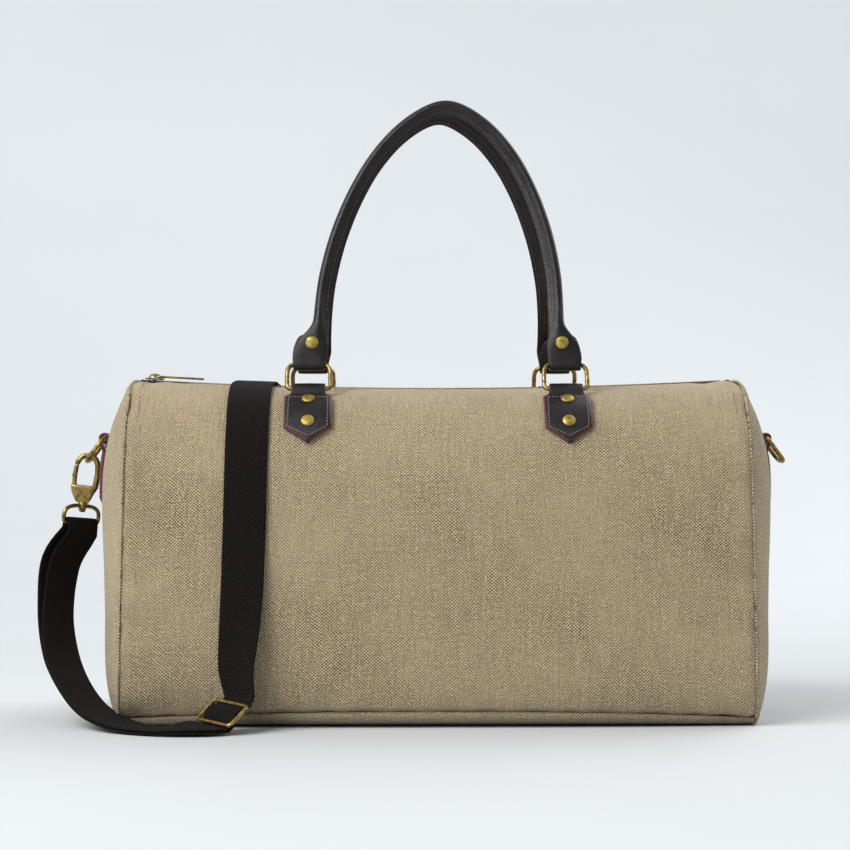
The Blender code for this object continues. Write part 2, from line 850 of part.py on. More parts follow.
class HandlePlane:
    """The leaning plane that a handle's arch lies in, through the top bars of its two rings."""

    def __init__(self, side):
        self.side = side
        line = shoulder_line(HANDLE_SPACING / 2, side)
        self.bar = line.place(0.0, BAR_HEIGHT)
        self.bar.x = 0
        tall = RING_HEIGHT - WIRE
        inward = Vector((0, -side, 0))
        self.ring_up = Z_AXIS * math.cos(RING_LEAN) + inward * math.sin(RING_LEAN)
        self.top_bar = self.bar + self.ring_up * tall
        self.up = Z_AXIS * math.cos(HANDLE_LEAN) + inward * math.sin(HANDLE_LEAN)
        self.outward = Vector((0, side, 0)) * math.cos(HANDLE_LEAN)
        self.outward += Z_AXIS * math.sin(HANDLE_LEAN)

    def place(self, x, up, out=0.0):
        return self.top_bar + X_AXIS * x + self.up * up + self.outward * out


ARCH_SHAPE = (
    (0.960, 0.075),
    (0.918, 0.140),
    (0.905, 0.220),
    (0.880, 0.330),
    (0.828, 0.450),
    (0.760, 0.560),
    (0.660, 0.680),
    (0.525, 0.800),
    (0.350, 0.905),
    (0.160, 0.975),
)


def handle_line(apex_shift, height):
    """(x, up, width, thickness) along the arch from one paddle to the other, above the fold."""
    half = HANDLE_SPACING / 2
    peak = height / math.cos(HANDLE_LEAN)
    left = []
    for x, up in ARCH_SHAPE:
        left.append((-half * x + apex_shift * up**2, peak * up))
    right = [(2 * apex_shift * up / peak - x, up) for x, up in reversed(left)]
    whole = left + [(apex_shift, peak)] + right
    line = smooth_path([(x, up, 0.0) for x, up in whole], 0.0095)
    made = []
    for x, up, _ in line:
        share = min(1.0, max(0.0, (up - 0.021) / 0.026))
        ease = share * share * (3 - 2 * share)
        wide = PADDLE_WIDTH + (HANDLE_ROLL - PADDLE_WIDTH) * ease
        thick = FOLD_LEATHER + (HANDLE_THICK - FOLD_LEATHER) * ease
        made.append((x, up, wide, thick))
    return made


def fold_stations():
    """(up, out, width) of the leather strip from its end behind the rivet, under the ring's bar, and up."""
    offset = WIRE / 2 + FOLD_CLEARANCE + FOLD_LEATHER / 2
    low = -0.0012
    stations = [(0.0240, -offset + 0.0012, PADDLE_WIDTH - 0.006)]
    stations.append((0.0140, -offset + 0.0006, PADDLE_WIDTH - 0.002))
    stations.append((0.0060, -offset, PADDLE_WIDTH - 0.003))
    for step in range(7):
        angle = math.radians(180 + 30 * step)
        stations.append((low + offset * math.sin(angle), offset * math.cos(angle), FOLD_WIDTH))
    stations.append((0.0060, offset, PADDLE_WIDTH - 0.003))
    return stations


def handle(name, side, apex_shift, height):
    """A rolled handle: its flat ends fold round the rings' top bars and its middle is a roll."""
    plane = HandlePlane(side)
    half = HANDLE_SPACING / 2
    arch = handle_line(apex_shift, height)
    stations = []
    for up, out, wide in fold_stations():
        stations.append((-half, up, out, wide, FOLD_LEATHER, True))
    offset = WIRE / 2 + FOLD_CLEARANCE + FOLD_LEATHER / 2
    for x, up, wide, thick in arch:
        blend = min(1.0, max(0.0, (up - 0.012) / 0.040))
        stations.append((x, up, offset * (1 - blend), wide, thick, False))
    for up, out, wide in reversed(fold_stations()):
        stations.append((half, up, out, wide, FOLD_LEATHER, True))
    centres = [plane.place(x, up, out) for x, up, out, *_ in stations]
    loops = []
    for i, (_, _, _, wide, thick, folded) in enumerate(stations):
        before = centres[max(i - 1, 0)]
        after = centres[min(i + 1, len(centres) - 1)]
        tangent = (after - before).normalized()
        if folded:
            across = X_AXIS if i < len(stations) / 2 else -X_AXIS
            outward = tangent.cross(across).normalized() * side
        else:
            across = tangent.cross(plane.outward).normalized() * side
            outward = plane.outward
        loops.append(band_section(centres[i], across * -side, outward, wide, thick))
    return add_object(name, loft(name, loops), "leather", plane.top_bar)


# ---------------------------------------------------------------- shoulder strap


class Frame:
    """A small local frame: right and up in a piece's plane, and out of it."""

    def __init__(self, origin, right, up):
        self.origin = Vector(origin)
        self.up = Vector(up).normalized()
        self.right = (Vector(right) - self.up * Vector(right).dot(self.up)).normalized()
        self.out = self.right.cross(self.up)

    def at(self, right, up, out=0.0):
        return self.origin + self.right * right + self.up * up + self.out * out

    def turned(self, degrees):
        """The same frame turned about its up axis."""
        a = math.radians(degrees)
        right = self.right * math.cos(a) + self.out * math.sin(a)
        return Frame(self.origin, right, self.up)

    def matrix(self):
        turn = Matrix((self.right, self.up, self.out)).transposed().to_4x4()
        return Matrix.Translation(self.origin) @ turn


EYE_TOP = EYE_HEIGHT - EYE_WIRE
BOSS_RISE = 0.0052
POST_TOP = EYE_TOP + 0.0055


def strap_eye(name, frame):
    """The swivel's D-shaped eye, its flat bar at the bottom and a bored boss at the top."""
    half = (EYE_WIDTH - EYE_WIRE) / 2
    shape = [(-half + 0.003, 0.0), (0.0, 0.0), (half - 0.003, 0.0), (half - 0.0008, 0.0010)]
    for i in range(11):
        a = math.pi * i / 10
        c, s = math.cos(a), math.sin(a)
        r = (abs(c) ** 3 + s**3) ** (-1 / 3)
        shape.append((half * r * c, 0.0042 + (EYE_TOP - 0.0042) * r * s))
    shape.append((-half + 0.0008, 0.0010))
    points = [frame.at(a, b) for a, b in shape]
    mesh = tube(name, points, EYE_WIRE / 2, closed=True, sides=8)
    boss_radius = POST_RADIUS + POST_CLEARANCE + 0.0014
    boss = turned(
        "boss",
        [(0, -0.0022), (boss_radius, -0.0022), (boss_radius, 0.0022), (0, 0.0022)],
        frame.at(0, EYE_TOP),
        frame.up,
        sides=12,
    )
    bore = turned(
        "bore",
        [
            (0, -0.01),
            (POST_RADIUS + POST_CLEARANCE, -0.01),
            (POST_RADIUS + POST_CLEARANCE, 0.01),
            (0, 0.01),
        ],
        frame.at(0, EYE_TOP),
        frame.up,
        sides=12,
    )
    mesh = combine(mesh, boss, "UNION")
    mesh = combine(mesh, bore, "DIFFERENCE")
    return add_object(name, mesh, "antique_brass", frame.origin)


BODY_LOW = EYE_TOP + 0.0022 + GAP
BODY_HIGH = BODY_LOW + HOOK_BODY
HOOK_TOP = BODY_LOW + HOOK_LENGTH - HOOK_WIRE / 2
HOOK_INSIDE = HOOK_WIDTH / 2 - HOOK_WIRE / 2


def hook_arc(first, last, steps):
    """Points on the hook's oval between two angles in degrees, counted from its right side."""
    middle = (BODY_HIGH + HOOK_TOP) / 2
    tall = (HOOK_TOP - BODY_HIGH) / 2
    made = []
    for i in range(steps + 1):
        a = math.radians(first + (last - first) * i / steps)
        made.append((HOOK_INSIDE * math.cos(a), middle + tall * math.sin(a)))
    return made


def snap_hook(name, frame):
    """The cast hook: swivel barrel, tapered body and the hook's bow in one piece, with its post."""
    low = BODY_LOW
    high = BODY_HIGH
    outline = [(-0.0042, low), (0.0042, low), (0.0066, high), (-0.0046, high)]
    loops = []
    for out in (-0.0029, 0.0029):
        loops.append([frame.at(a, b, out) for a, b in outline])
    mesh = loft("body", loops)
    bow = [(0.0048, high - 0.004)] + hook_arc(-50, 150, 12)
    radii = [0.0026] + [HOOK_WIRE / 2] * 12 + [0.0013]
    bow_mesh = tube("bow", [frame.at(a, b) for a, b in bow], radii, sides=8)
    mesh = combine(mesh, bow_mesh, "UNION")
    head = [
        (0, EYE_TOP - 0.0022 - GAP - 0.0016),
        (0.0026, EYE_TOP - 0.0022 - GAP - 0.0012),
        (0.0026, EYE_TOP - 0.0022 - GAP),
        (POST_RADIUS, EYE_TOP - 0.0022 - GAP),
        (POST_RADIUS, low + 0.003),
        (0, low + 0.003),
    ]
    post = turned("post", head, frame.origin, frame.up, sides=12)
    mesh = combine(mesh, post, "UNION")
    return add_object(name, mesh, "antique_brass", frame.at(0, EYE_TOP))


GATE_PIVOT = (-0.0068, BODY_HIGH + 0.0012)


def hook_gate(name, frame):
    """The sprung gate that shuts the hook, from its pin in the body up to the bow's tip."""
    tip = hook_arc(163, 163, 1)[0]
    side = (-HOOK_INSIDE + 0.0004, (GATE_PIVOT[1] + tip[1]) / 2)
    points = smooth_path([(*GATE_PIVOT, 0), (*side, 0), (*tip, 0)], 0.004)
    mesh = tube(
        name, [frame.at(p[0], p[1]) for p in points], 0.0014, sides=6
    )
    return add_object(name, mesh, "antique_brass", frame.at(*GATE_PIVOT))


# The hanging hook: its bow hangs on the left side ring.
LEFT_LINE = end_line(-1)
RIGHT_LINE = end_line(1)


def side_ring_frame(side):
    """(bar centre, direction) of a side ring hanging down and out from its tab."""
    line = LEFT_LINE if side < 0 else RIGHT_LINE
    bar = line.place(0.0, BAR_HEIGHT)
    down = Vector((side * math.cos(SIDE_RING_DROP), 0, -math.sin(SIDE_RING_DROP)))
    return bar, down


LEFT_HOOK_TILT = math.radians(7)
LEFT_EYE_TURN = -50


def left_hook_frame():
    """The left hook's frame, its origin at the middle of the eye's bar."""
    bar, down = side_ring_frame(-1)
    wire = bar + down * (RING_HEIGHT - WIRE)
    up = Vector((math.sin(LEFT_HOOK_TILT), 0, math.cos(LEFT_HOOK_TILT)))
    drop = HOOK_TOP - (HOOK_WIRE + WIRE) / 2 - GAP
    return Frame(wire - up * drop, X_AXIS, up), wire


SLIDER_CENTRE = Vector((-0.1594, -0.1455, 0.0148))
SLIDER_BAR = Vector((0.697, -0.713, -0.068))
SLIDER_RUN = Vector((0.596, 0.520, 0.600))


def slider_frame():
    """The strap slider's frame: right along its bars, up along the webbing towards the bag."""
    return Frame(SLIDER_CENTRE, SLIDER_BAR, SLIDER_RUN)


def strap_slider():
    """A rectangular wire slider with a bar across it, all one casting."""
    frame = slider_frame()
    half = (SLIDER_FRAME_WIDTH - SLIDER_WIRE) / 2
    long = (SLIDER_FRAME_LENGTH - SLIDER_WIRE) / 2
    corner = 0.003
    shape = []
    for cx, cy, start in (
        (half - corner, corner - long, -90),
        (half - corner, long - corner, 0),
        (corner - half, long - corner, 90),
        (corner - half, corner - long, 180),
    ):
        for k in range(3):
            a = math.radians(start + 45 * k)
            shape.append((cx + corner * math.cos(a), cy + corner * math.sin(a)))
    mesh = tube(
        "strap_slider",
        [frame.at(a, b) for a, b in shape],
        SLIDER_WIRE / 2,
        closed=True,
    )
    bar = tube(
        "bar",
        [frame.at(-half, 0.0015, -0.0006), frame.at(half, 0.0015, -0.0006)],
        0.0012,
    )
    mesh = combine(mesh, bar, "UNION")
    return add_object("strap_slider", mesh, "antique_brass")


def vector_points(points):
    return [tuple(point) for point in points]


# The far end of the strap, standing on its edge on the floor behind the bag.
REAR_EYE = Vector((0.0180, 0.1760, 0.0210))
REAR_DROP = math.radians(7)


def right_hook_frame():
    """The loose hook's frame, lying along the floor behind the bag."""
    run = Vector((math.cos(REAR_DROP), 0.0, -math.sin(REAR_DROP)))
    return Frame(REAR_EYE, -Z_AXIS, run)


def doubled_run():
    """Centre, across and half spacing of the doubled webbing, from the left eye to the slider."""
    frame, _ = left_hook_frame()
    eye = frame.turned(LEFT_EYE_TURN)
    bar = eye.origin
    across = eye.right
    slider = slider_frame()
    under = -(SLIDER_WIRE + WEBBING) / 2 - GAP - (WEBBING + LAYER_GAP) / 2
    leave = slider.at(0, -SLIDER_FRAME_LENGTH / 2, under)
    into = slider.at(0, -SLIDER_FRAME_LENGTH / 2 - 0.0045, under + 0.0034)
    flat = WEBBING + LAYER_GAP / 2 + GAP
    close = (WEBBING + LAYER_GAP) / 2
    return [
        (bar - eye.up * 0.0085, across, 0.0036),
        (Vector((-0.2940, -0.0060, 0.1180)), across, 0.0052),
        (Vector((-0.2965, -0.0190, 0.0830)), across.lerp(Y_AXIS, 0.08), 0.0034),
        (Vector((-0.2905, -0.0420, 0.0530)), Vector((0.60, 0.80, 0.05)), 0.0018),
        (Vector((-0.2790, -0.0690, 0.0320)), Vector((0.52, 0.84, 0.08)), close),
        (Vector((-0.2600, -0.1010, 0.0135)), Vector((0.44, 0.89, 0.08)), close),
        (Vector((-0.2360, -0.1300, flat + 0.0022)), Vector((0.36, 0.93, 0.04)), close),
        (Vector((-0.2100, -0.1480, flat)), Vector((0.24, 0.97, 0.00)), close),
        (Vector((-0.1880, -0.1555, flat + 0.0026)), Vector((0.02, 0.99, 0.10)), close),
        (into, -slider.right, close),
        (leave, -slider.right, close),
        (slider.at(0, -0.0040, under - 0.0002), -slider.right, close),
    ]


def single_run():
    """Centre and across of the single webbing, from the slider up the front, over and down behind."""
    slider = slider_frame()
    under = -(SLIDER_WIRE + WEBBING) / 2 - GAP
    over = -0.0006 + 0.0012 + GAP + WEBBING / 2
    turn = -slider.right
    points = [
        (slider.at(0, -SLIDER_FRAME_LENGTH / 2, under), turn),
        (slider.at(0, -0.0085, under + 0.0004), turn),
        (slider.at(0, 0.0015, over), turn),
        (slider.at(0, 0.0108, under), turn),
        (slider.at(0, 0.0190, under + 0.0014), turn),
    ]
    lift = WEBBING / 2 + 3 * GAP
    across_front = -X_AXIS
    across_top = Vector((-1, 0, 0.14 / MOUTH_RADIUS))
    climb = (
        (-0.1500, 0.046, 0.0100, Vector((-0.84, 0.54, 0.03))),
        (-0.1480, 0.074, 0.0062, Vector((-0.95, 0.32, 0.0))),
        (-0.1460, 0.105, 0.0030, Vector((-0.99, 0.13, 0.0))),
        (-0.1448, 0.140, 0.0006, across_front),
        (-0.1440, 0.170, 0.0, across_front),
    )
    for x, z, stand, across in climb:
        if z < WIDEST_HEIGHT:
            y = foot_point(x, z)[0]
        else:
            y = half_depth(x)
        points.append((Vector((x, -(y + lift + stand), z)), across))
    start = 0.50
    end = mouth_angle(-0.142, 0.030)
    for share in (0.0, 0.2, 0.4, 0.6, 0.8, 1.0):
        angle = start + (end - start) * share
        x = -0.1436 + 0.002 * share
        y, z = shoulder_point(x, angle, -lift)
        points.append((Vector((x, -y, z)), across_top))
    crown = mouth_height(-0.138) + TEETH_TOP + lift + 0.0004
    points.append((Vector((-0.1405, 0.0, crown)), across_top))
    for share in (1.0, 0.8, 0.6, 0.4, 0.2, 0.0):
        angle = start + (end - start) * share
        x = -0.1395 + 0.010 * (1 - share)
        y, z = shoulder_point(x, angle, -lift)
        points.append((Vector((x, y, z)), across_top))
    down = ((-0.127, 0.150), (-0.122, 0.110), (-0.117, 0.070), (-0.113, 0.036))
    for x, z in down:
        y = foot_point(x, min(z, WIDEST_HEIGHT))[0]
        points.append((Vector((x, y + lift + 0.0004, z)), Vector((-1, 0.0, -0.12))))
    points += [
        (Vector((-0.1110, 0.1275, 0.0140)), Vector((-1, 0.05, -0.10))),
        (Vector((-0.1070, 0.1400, 0.0035)), Vector((-0.98, 0.20, -0.02))),
        (Vector((-0.0990, 0.1560, 0.0076)), Vector((-0.78, 0.50, 0.30))),
        (Vector((-0.0850, 0.1690, 0.0146)), Vector((-0.45, 0.42, 0.79))),
        (Vector((-0.0670, 0.1760, 0.0178)), Vector((-0.10, 0.12, 0.99))),
        (Vector((-0.0450, 0.1780, 0.0186)), Vector((0.0, 0.0, 1.0))),
        (Vector((-0.0240, 0.1785, 0.0196)), Vector((0.06, 0.0, 1.0))),
        (Vector((0.0040, 0.1784, 0.0208)), Vector((0.12, 0.0, 1.0))),
    ]
    return points


def webbing_stations():
    """(centre, across) along the whole webbing, from its sewn end to the fold at the loose hook."""
    doubled = doubled_run()
    frame, _ = left_hook_frame()
    eye = frame.turned(LEFT_EYE_TURN)
    slider = slider_frame()
    dense = smooth_path([(*c, *a, spread) for c, a, spread in doubled], 0.011)
    fan = []
    for i, row in enumerate(dense):
        centre = Vector(row[:3])
        across = Vector(row[3:6]).normalized()
        before = Vector(dense[max(i - 1, 0)][:3])
        after = Vector(dense[min(i + 1, len(dense) - 1)][:3])
        tangent = (after - before).normalized()
        if i == 0:
            tangent = -eye.up
        if i >= len(dense) - 2:
            tangent = slider.up
        across = (across - tangent * across.dot(tangent)).normalized()
        outward = tangent.cross(across)
        fan.append((centre, across, outward, row[6]))
    stations = []
    for centre, across, outward, spread in reversed(fan):
        stations.append((centre - outward * spread, across))
    bend = EYE_WIRE / 2 + 2 * GAP + WEBBING / 2
    top_out = fan[0][2]
    for degrees in (-60, -20, 20, 60):
        a = math.radians(degrees)
        point = eye.origin + eye.up * (bend * math.cos(a)) + top_out * (bend * math.sin(a))
        stations.append((point, eye.right))
    for centre, across, outward, spread in fan[:-1]:
        stations.append((centre + outward * spread, across))
    single = single_run()
    dense = smooth_path([(*c, *a) for c, a in single[1:]], 0.013)
    stations += [(Vector(row[:3]), Vector(row[3:6]).normalized()) for row in dense]
    rear = right_hook_frame()
    side = -rear.out
    for degrees in (-70, -25, 25, 70):
        a = math.radians(degrees)
        point = rear.origin + rear.up * (bend * math.cos(a)) - side * (bend * math.sin(a))
        stations.append((point, -rear.right))
    back = WEBBING + LAYER_GAP
    for along in (0.0070, 0.0180, 0.0300):
        spot = rear.origin - rear.up * along
        spread = bend + (back / 2 - bend) * min(1.0, along / 0.016)
        stations.append((spot - side * (2 * spread - back / 2 - 0.0002), -rear.right))
    return stations


def shoulder_strap():
    """The webbing, one flat band from end to end."""
    stations = webbing_stations()
    loops = []
    for i, (centre, across) in enumerate(stations):
        before = stations[max(i - 1, 0)][0]
        after = stations[min(i + 1, len(stations) - 1)][0]
        tangent = (after - before).normalized()
        flat = (across - tangent * across.dot(tangent)).normalized()
        loops.append(
            band_section(centre, flat, tangent.cross(flat), WEBBING_WIDTH, WEBBING)
        )
    return add_object("shoulder_strap", loft("shoulder_strap", loops), "webbing")


# ---------------------------------------------------------------- build


def build_body():
    side_panel("front_panel", -1)
    side_panel("back_panel", 1)
    base_panel()
    end_panel("end_panel_left", -1)
    end_panel("end_panel_right", 1)
    lining()
    base_board()


def build_zip():
    for word, side in (("front", -1), ("back", 1)):
        zip_tape("zip_tape_" + word, side)
        zip_teeth("zip_teeth_" + word, side)
    zip_stop("zip_stop_left", -1)
    zip_stop("zip_stop_right", 1)
    slider = zip_slider()
    attach(zip_pull(), slider)


def build_handles():
    for word, side in (("front", -1), ("back", 1)):
        plane = HandlePlane(side)
        shift, height = (0.008, HANDLE_RISE) if side < 0 else (0.003, HANDLE_RISE - 0.004)
        arch = handle("handle_" + word, side, shift, height)
        for hand, x in (("left", -HANDLE_SPACING / 2), ("right", HANDLE_SPACING / 2)):
            place = word + "_" + hand
            line = shoulder_line(x, side)
            leather_tab("handle_tab_" + place, line, TAB_WIDTH, TAB_LENGTH, TAB_POINT)
            for level, distance in zip(("upper", "lower"), TAB_RIVETS):
                _, _, normal = line.at(distance)
                base = line.place(distance, 2 * GAP + 2 * LEATHER)
                rivet(f"tab_rivet_{place}_{level}", base, normal)
            origin = plane.bar + X_AXIS * x
            ring("handle_ring_" + place, origin, X_AXIS, plane.ring_up)
            offset = WIRE / 2 + FOLD_CLEARANCE + FOLD_LEATHER + GAP
            face = plane.place(0.976 * x, HANDLE_RIVET_RISE, offset)
            rivet("handle_rivet_" + place, face, plane.outward, arch, plane.top_bar)


def build_strap():
    for word, side in (("left", -1), ("right", 1)):
        line = LEFT_LINE if side < 0 else RIGHT_LINE
        leather_tab("side_tab_" + word, line, SIDE_TAB_WIDTH, SIDE_TAB_LENGTH, 0.004)
        bar, down = side_ring_frame(side)
        ring("side_ring_" + word, bar, Y_AXIS, down)
    frame, _ = left_hook_frame()
    strap_eye("strap_eye_left", frame.turned(LEFT_EYE_TURN))
    snap_hook("snap_hook_left", frame)
    hook_gate("hook_gate_left", frame)
    frame = right_hook_frame()
    strap_eye("strap_eye_right", frame)
    snap_hook("snap_hook_right", frame)
    hook_gate("hook_gate_right", frame)
    strap_slider()
    shoulder_strap()


def main():
    for old in list(bpy.data.objects):
        bpy.data.objects.remove(old, do_unlink=True)
    build_body()
    build_zip()
    build_handles()
    build_strap()


main()
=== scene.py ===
"""Looks for a canvas weekender bag with leather handles, brass hardware and a webbing strap.

Metres, +Z up, the origin on the floor under the middle of the bag, -Y the front. Every piece is
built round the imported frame, in its coordinates, and rides on one of the frame's bodies.
"""

import logging
import math
from dataclasses import dataclass
from enum import Enum
from typing import Callable, Iterable, Sequence

import bmesh
import bpy
from mathutils import Matrix, Vector, noise


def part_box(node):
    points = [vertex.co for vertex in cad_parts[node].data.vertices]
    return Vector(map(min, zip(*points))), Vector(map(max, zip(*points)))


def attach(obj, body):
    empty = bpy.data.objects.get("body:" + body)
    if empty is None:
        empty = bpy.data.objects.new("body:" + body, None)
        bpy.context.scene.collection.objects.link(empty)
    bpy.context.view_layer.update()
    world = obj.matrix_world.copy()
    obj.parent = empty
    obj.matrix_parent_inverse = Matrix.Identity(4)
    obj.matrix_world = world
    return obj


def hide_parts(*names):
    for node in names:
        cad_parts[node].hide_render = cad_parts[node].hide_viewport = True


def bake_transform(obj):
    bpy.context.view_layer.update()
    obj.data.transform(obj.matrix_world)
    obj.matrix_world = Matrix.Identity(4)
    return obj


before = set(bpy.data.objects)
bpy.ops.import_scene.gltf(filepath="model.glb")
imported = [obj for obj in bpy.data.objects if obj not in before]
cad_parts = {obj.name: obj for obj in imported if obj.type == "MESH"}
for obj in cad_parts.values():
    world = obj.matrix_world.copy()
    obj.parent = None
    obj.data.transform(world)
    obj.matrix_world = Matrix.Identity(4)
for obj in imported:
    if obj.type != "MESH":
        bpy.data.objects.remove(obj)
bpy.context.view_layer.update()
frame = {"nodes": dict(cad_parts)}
LOG = logging.getLogger("weekender")

X_AXIS = Vector((1, 0, 0))
Y_AXIS = Vector((0, 1, 0))
Z_AXIS = Vector((0, 0, 1))


class Side(Enum):
    """The two long faces of the bag."""

    FRONT = -1
    BACK = 1

    @property
    def word(self) -> str:
        """The side's name as it stands in the pieces' names."""
        return self.name.lower()


class Hand(Enum):
    """The two ends of the bag."""

    LEFT = -1
    RIGHT = 1

    @property
    def word(self) -> str:
        """The end's name as it stands in the pieces' names."""
        return self.name.lower()


# ---------------------------------------------------------------- node graphs


class Graph:
    """A short way to add nodes to a tree and join them."""

    def __init__(self, tree: bpy.types.NodeTree) -> None:
        """Keeps the tree.

        Args:
            tree: The material's or the group's node tree.
        """
        self.tree = tree

    def add(self, kind: str, inputs: dict | None = None, **settings: object) -> bpy.types.Node:
        """Adds one node.

        Args:
            kind: Blender's identifier of the node.
            inputs: Socket name or number to a value, or to the output that feeds it.
            **settings: Properties of the node.

        Returns:
            The new node.
        """
        node = self.tree.nodes.new(kind)
        for name, value in settings.items():
            setattr(node, name, value)
        for key, value in (inputs or {}).items():
            if isinstance(value, bpy.types.NodeSocket):
                self.link(value, node.inputs[key])
            else:
                node.inputs[key].default_value = value
        return node

    def link(self, output: bpy.types.NodeSocket, given: bpy.types.NodeSocket) -> None:
        """Joins an output to an input."""
        self.tree.links.new(output, given)

    def own_place(self) -> bpy.types.NodeSocket:
        """The piece's own coordinates."""
        return self.add("ShaderNodeTexCoord").outputs["Object"]

    def cloth_place(self, use_uv: bool) -> bpy.types.NodeSocket:
        """The cloth's UV map in metres, or the piece's own coordinates."""
        if use_uv:
            return self.add("ShaderNodeUVMap", uv_map="cloth").outputs[0]
        return self.own_place()

    def math(self, operation: str, *values: object) -> bpy.types.NodeSocket:
        """The output of a Math node over numbers or outputs."""
        return self.add("ShaderNodeMath", dict(enumerate(values)), operation=operation).outputs[0]

    def times(self, first: object, second: object) -> bpy.types.NodeSocket:
        """The product of two numbers or outputs."""
        return self.math("MULTIPLY", first, second)

    def plus(self, first: object, second: object) -> bpy.types.NodeSocket:
        """The sum of two numbers or outputs."""
        return self.math("ADD", first, second)

    def noise(self, vector: object, scale: float, detail: float = 3.0) -> bpy.types.NodeSocket:
        """The value of a noise texture at a scale."""
        sockets = {"Vector": vector, "Scale": scale, "Detail": detail, "Roughness": 0.55}
        return self.add("ShaderNodeTexNoise", sockets).outputs["Fac"]

    def mapped(self, vector: object, scale: Sequence[float]) -> bpy.types.NodeSocket:
        """The vector with each axis scaled by its own factor."""
        return self.add("ShaderNodeMapping", {"Vector": vector, "Scale": scale}).outputs[0]

    def ramp(self, value: object, low: float, high: float) -> bpy.types.NodeSocket:
        """The value stretched so that low becomes 0 and high 1, and clamped."""
        sockets = {"Value": value, "From Min": low, "From Max": high}
        return self.add("ShaderNodeMapRange", sockets, clamp=True).outputs[0]

    def mix(self, factor: object, first: object, second: object) -> bpy.types.NodeSocket:
        """The mix of two colours."""
        node = self.add("ShaderNodeMix", {0: factor}, data_type="RGBA")
        for index, value in ((6, first), (7, second)):
            if isinstance(value, bpy.types.NodeSocket):
                self.link(value, node.inputs[index])
            else:
                node.inputs[index].default_value = (*value, 1.0)
        return node.outputs[2]

    def bump(self, height: object, distance: float, strength: float = 1.0) -> bpy.types.NodeSocket:
        """The normal of a Bump node over a height."""
        sockets = {"Height": height, "Distance": distance, "Strength": strength}
        return self.add("ShaderNodeBump", sockets).outputs[0]


def shader_group(name: str, inputs: dict[str, str], outputs: Iterable[str]) -> tuple:
    """Makes an empty shader node group.

    Args:
        name: The group's name.
        inputs: Input name to socket type.
        outputs: Names of the float outputs.

    Returns:
        The group, its graph, its input node and its output node.
    """
    group = bpy.data.node_groups.new(name, "ShaderNodeTree")
    for label, kind in inputs.items():
        group.interface.new_socket(label, in_out="INPUT", socket_type=kind)
    for label in outputs:
        group.interface.new_socket(label, in_out="OUTPUT", socket_type="NodeSocketFloat")
    graph = Graph(group)
    return group, graph, graph.add("NodeGroupInput"), graph.add("NodeGroupOutput")


def weave_group() -> bpy.types.NodeTree:
    """Plain weave: uneven threads over and under each other, with slubs along the warp.

    Returns:
        A group with inputs Vector and Threads, and outputs Height and Slub.
    """
    kinds = {"Vector": "NodeSocketVector", "Threads": "NodeSocketFloat"}
    group, g, given, out = shader_group("plain_weave", kinds, ("Height", "Slub"))
    place = given.outputs["Vector"]
    wobble = g.noise(place, 90.0, 2.0)
    shifted = g.add("ShaderNodeVectorMath", {0: place}, operation="ADD")
    drift = g.times(g.math("SUBTRACT", wobble, 0.5), 0.0022)
    g.link(drift, shifted.inputs[1])
    parts = g.add("ShaderNodeSeparateXYZ", {0: shifted.outputs[0]})
    turns = g.times(given.outputs["Threads"], math.pi)
    long_turns = g.times(turns, 1.12)
    warp = g.math("SINE", g.times(parts.outputs[0], turns))
    weft = g.math("SINE", g.times(parts.outputs[1], long_turns))
    crossing = g.times(warp, weft)
    ridges = g.times(g.math("ABSOLUTE", warp), 0.48)
    loose = g.times(g.math("SUBTRACT", g.noise(place, 700.0, 2.0), 0.5), 1.5)
    height = g.plus(g.plus(g.times(crossing, 0.75), ridges), loose)
    slub = g.noise(g.mapped(place, (520.0, 34.0, 34.0)), 1.0, 2.0)
    cross = g.noise(g.mapped(place, (60.0, 420.0, 60.0)), 1.0, 2.0)
    flake = g.noise(place, 330.0, 3.0)
    both = g.plus(g.times(slub, 0.42), g.times(cross, 0.26))
    both = g.plus(both, g.times(flake, 0.32))
    g.link(height, out.inputs["Height"])
    g.link(both, out.inputs["Slub"])
    return group


def grain_group() -> bpy.types.NodeTree:
    """Leather grain: small rounded cells with creases between, and a slow unevenness.

    Returns:
        A group with inputs Vector and Cells, and outputs Height and Tone.
    """
    kinds = {"Vector": "NodeSocketVector", "Cells": "NodeSocketFloat"}
    group, g, given, out = shader_group("leather_grain", kinds, ("Height", "Tone"))
    place = given.outputs["Vector"]
    cells = g.add(
        "ShaderNodeTexVoronoi",
        {"Vector": place, "Scale": given.outputs["Cells"]},
        feature="DISTANCE_TO_EDGE",
    )
    crease = g.ramp(cells.outputs["Distance"], 0.0, 0.22)
    fine = g.noise(place, 2600.0, 2.0)
    height = g.plus(crease, g.times(fine, 0.35))
    g.link(height, out.inputs["Height"])
    g.link(g.noise(place, 55.0, 4.0), out.inputs["Tone"])
    return group


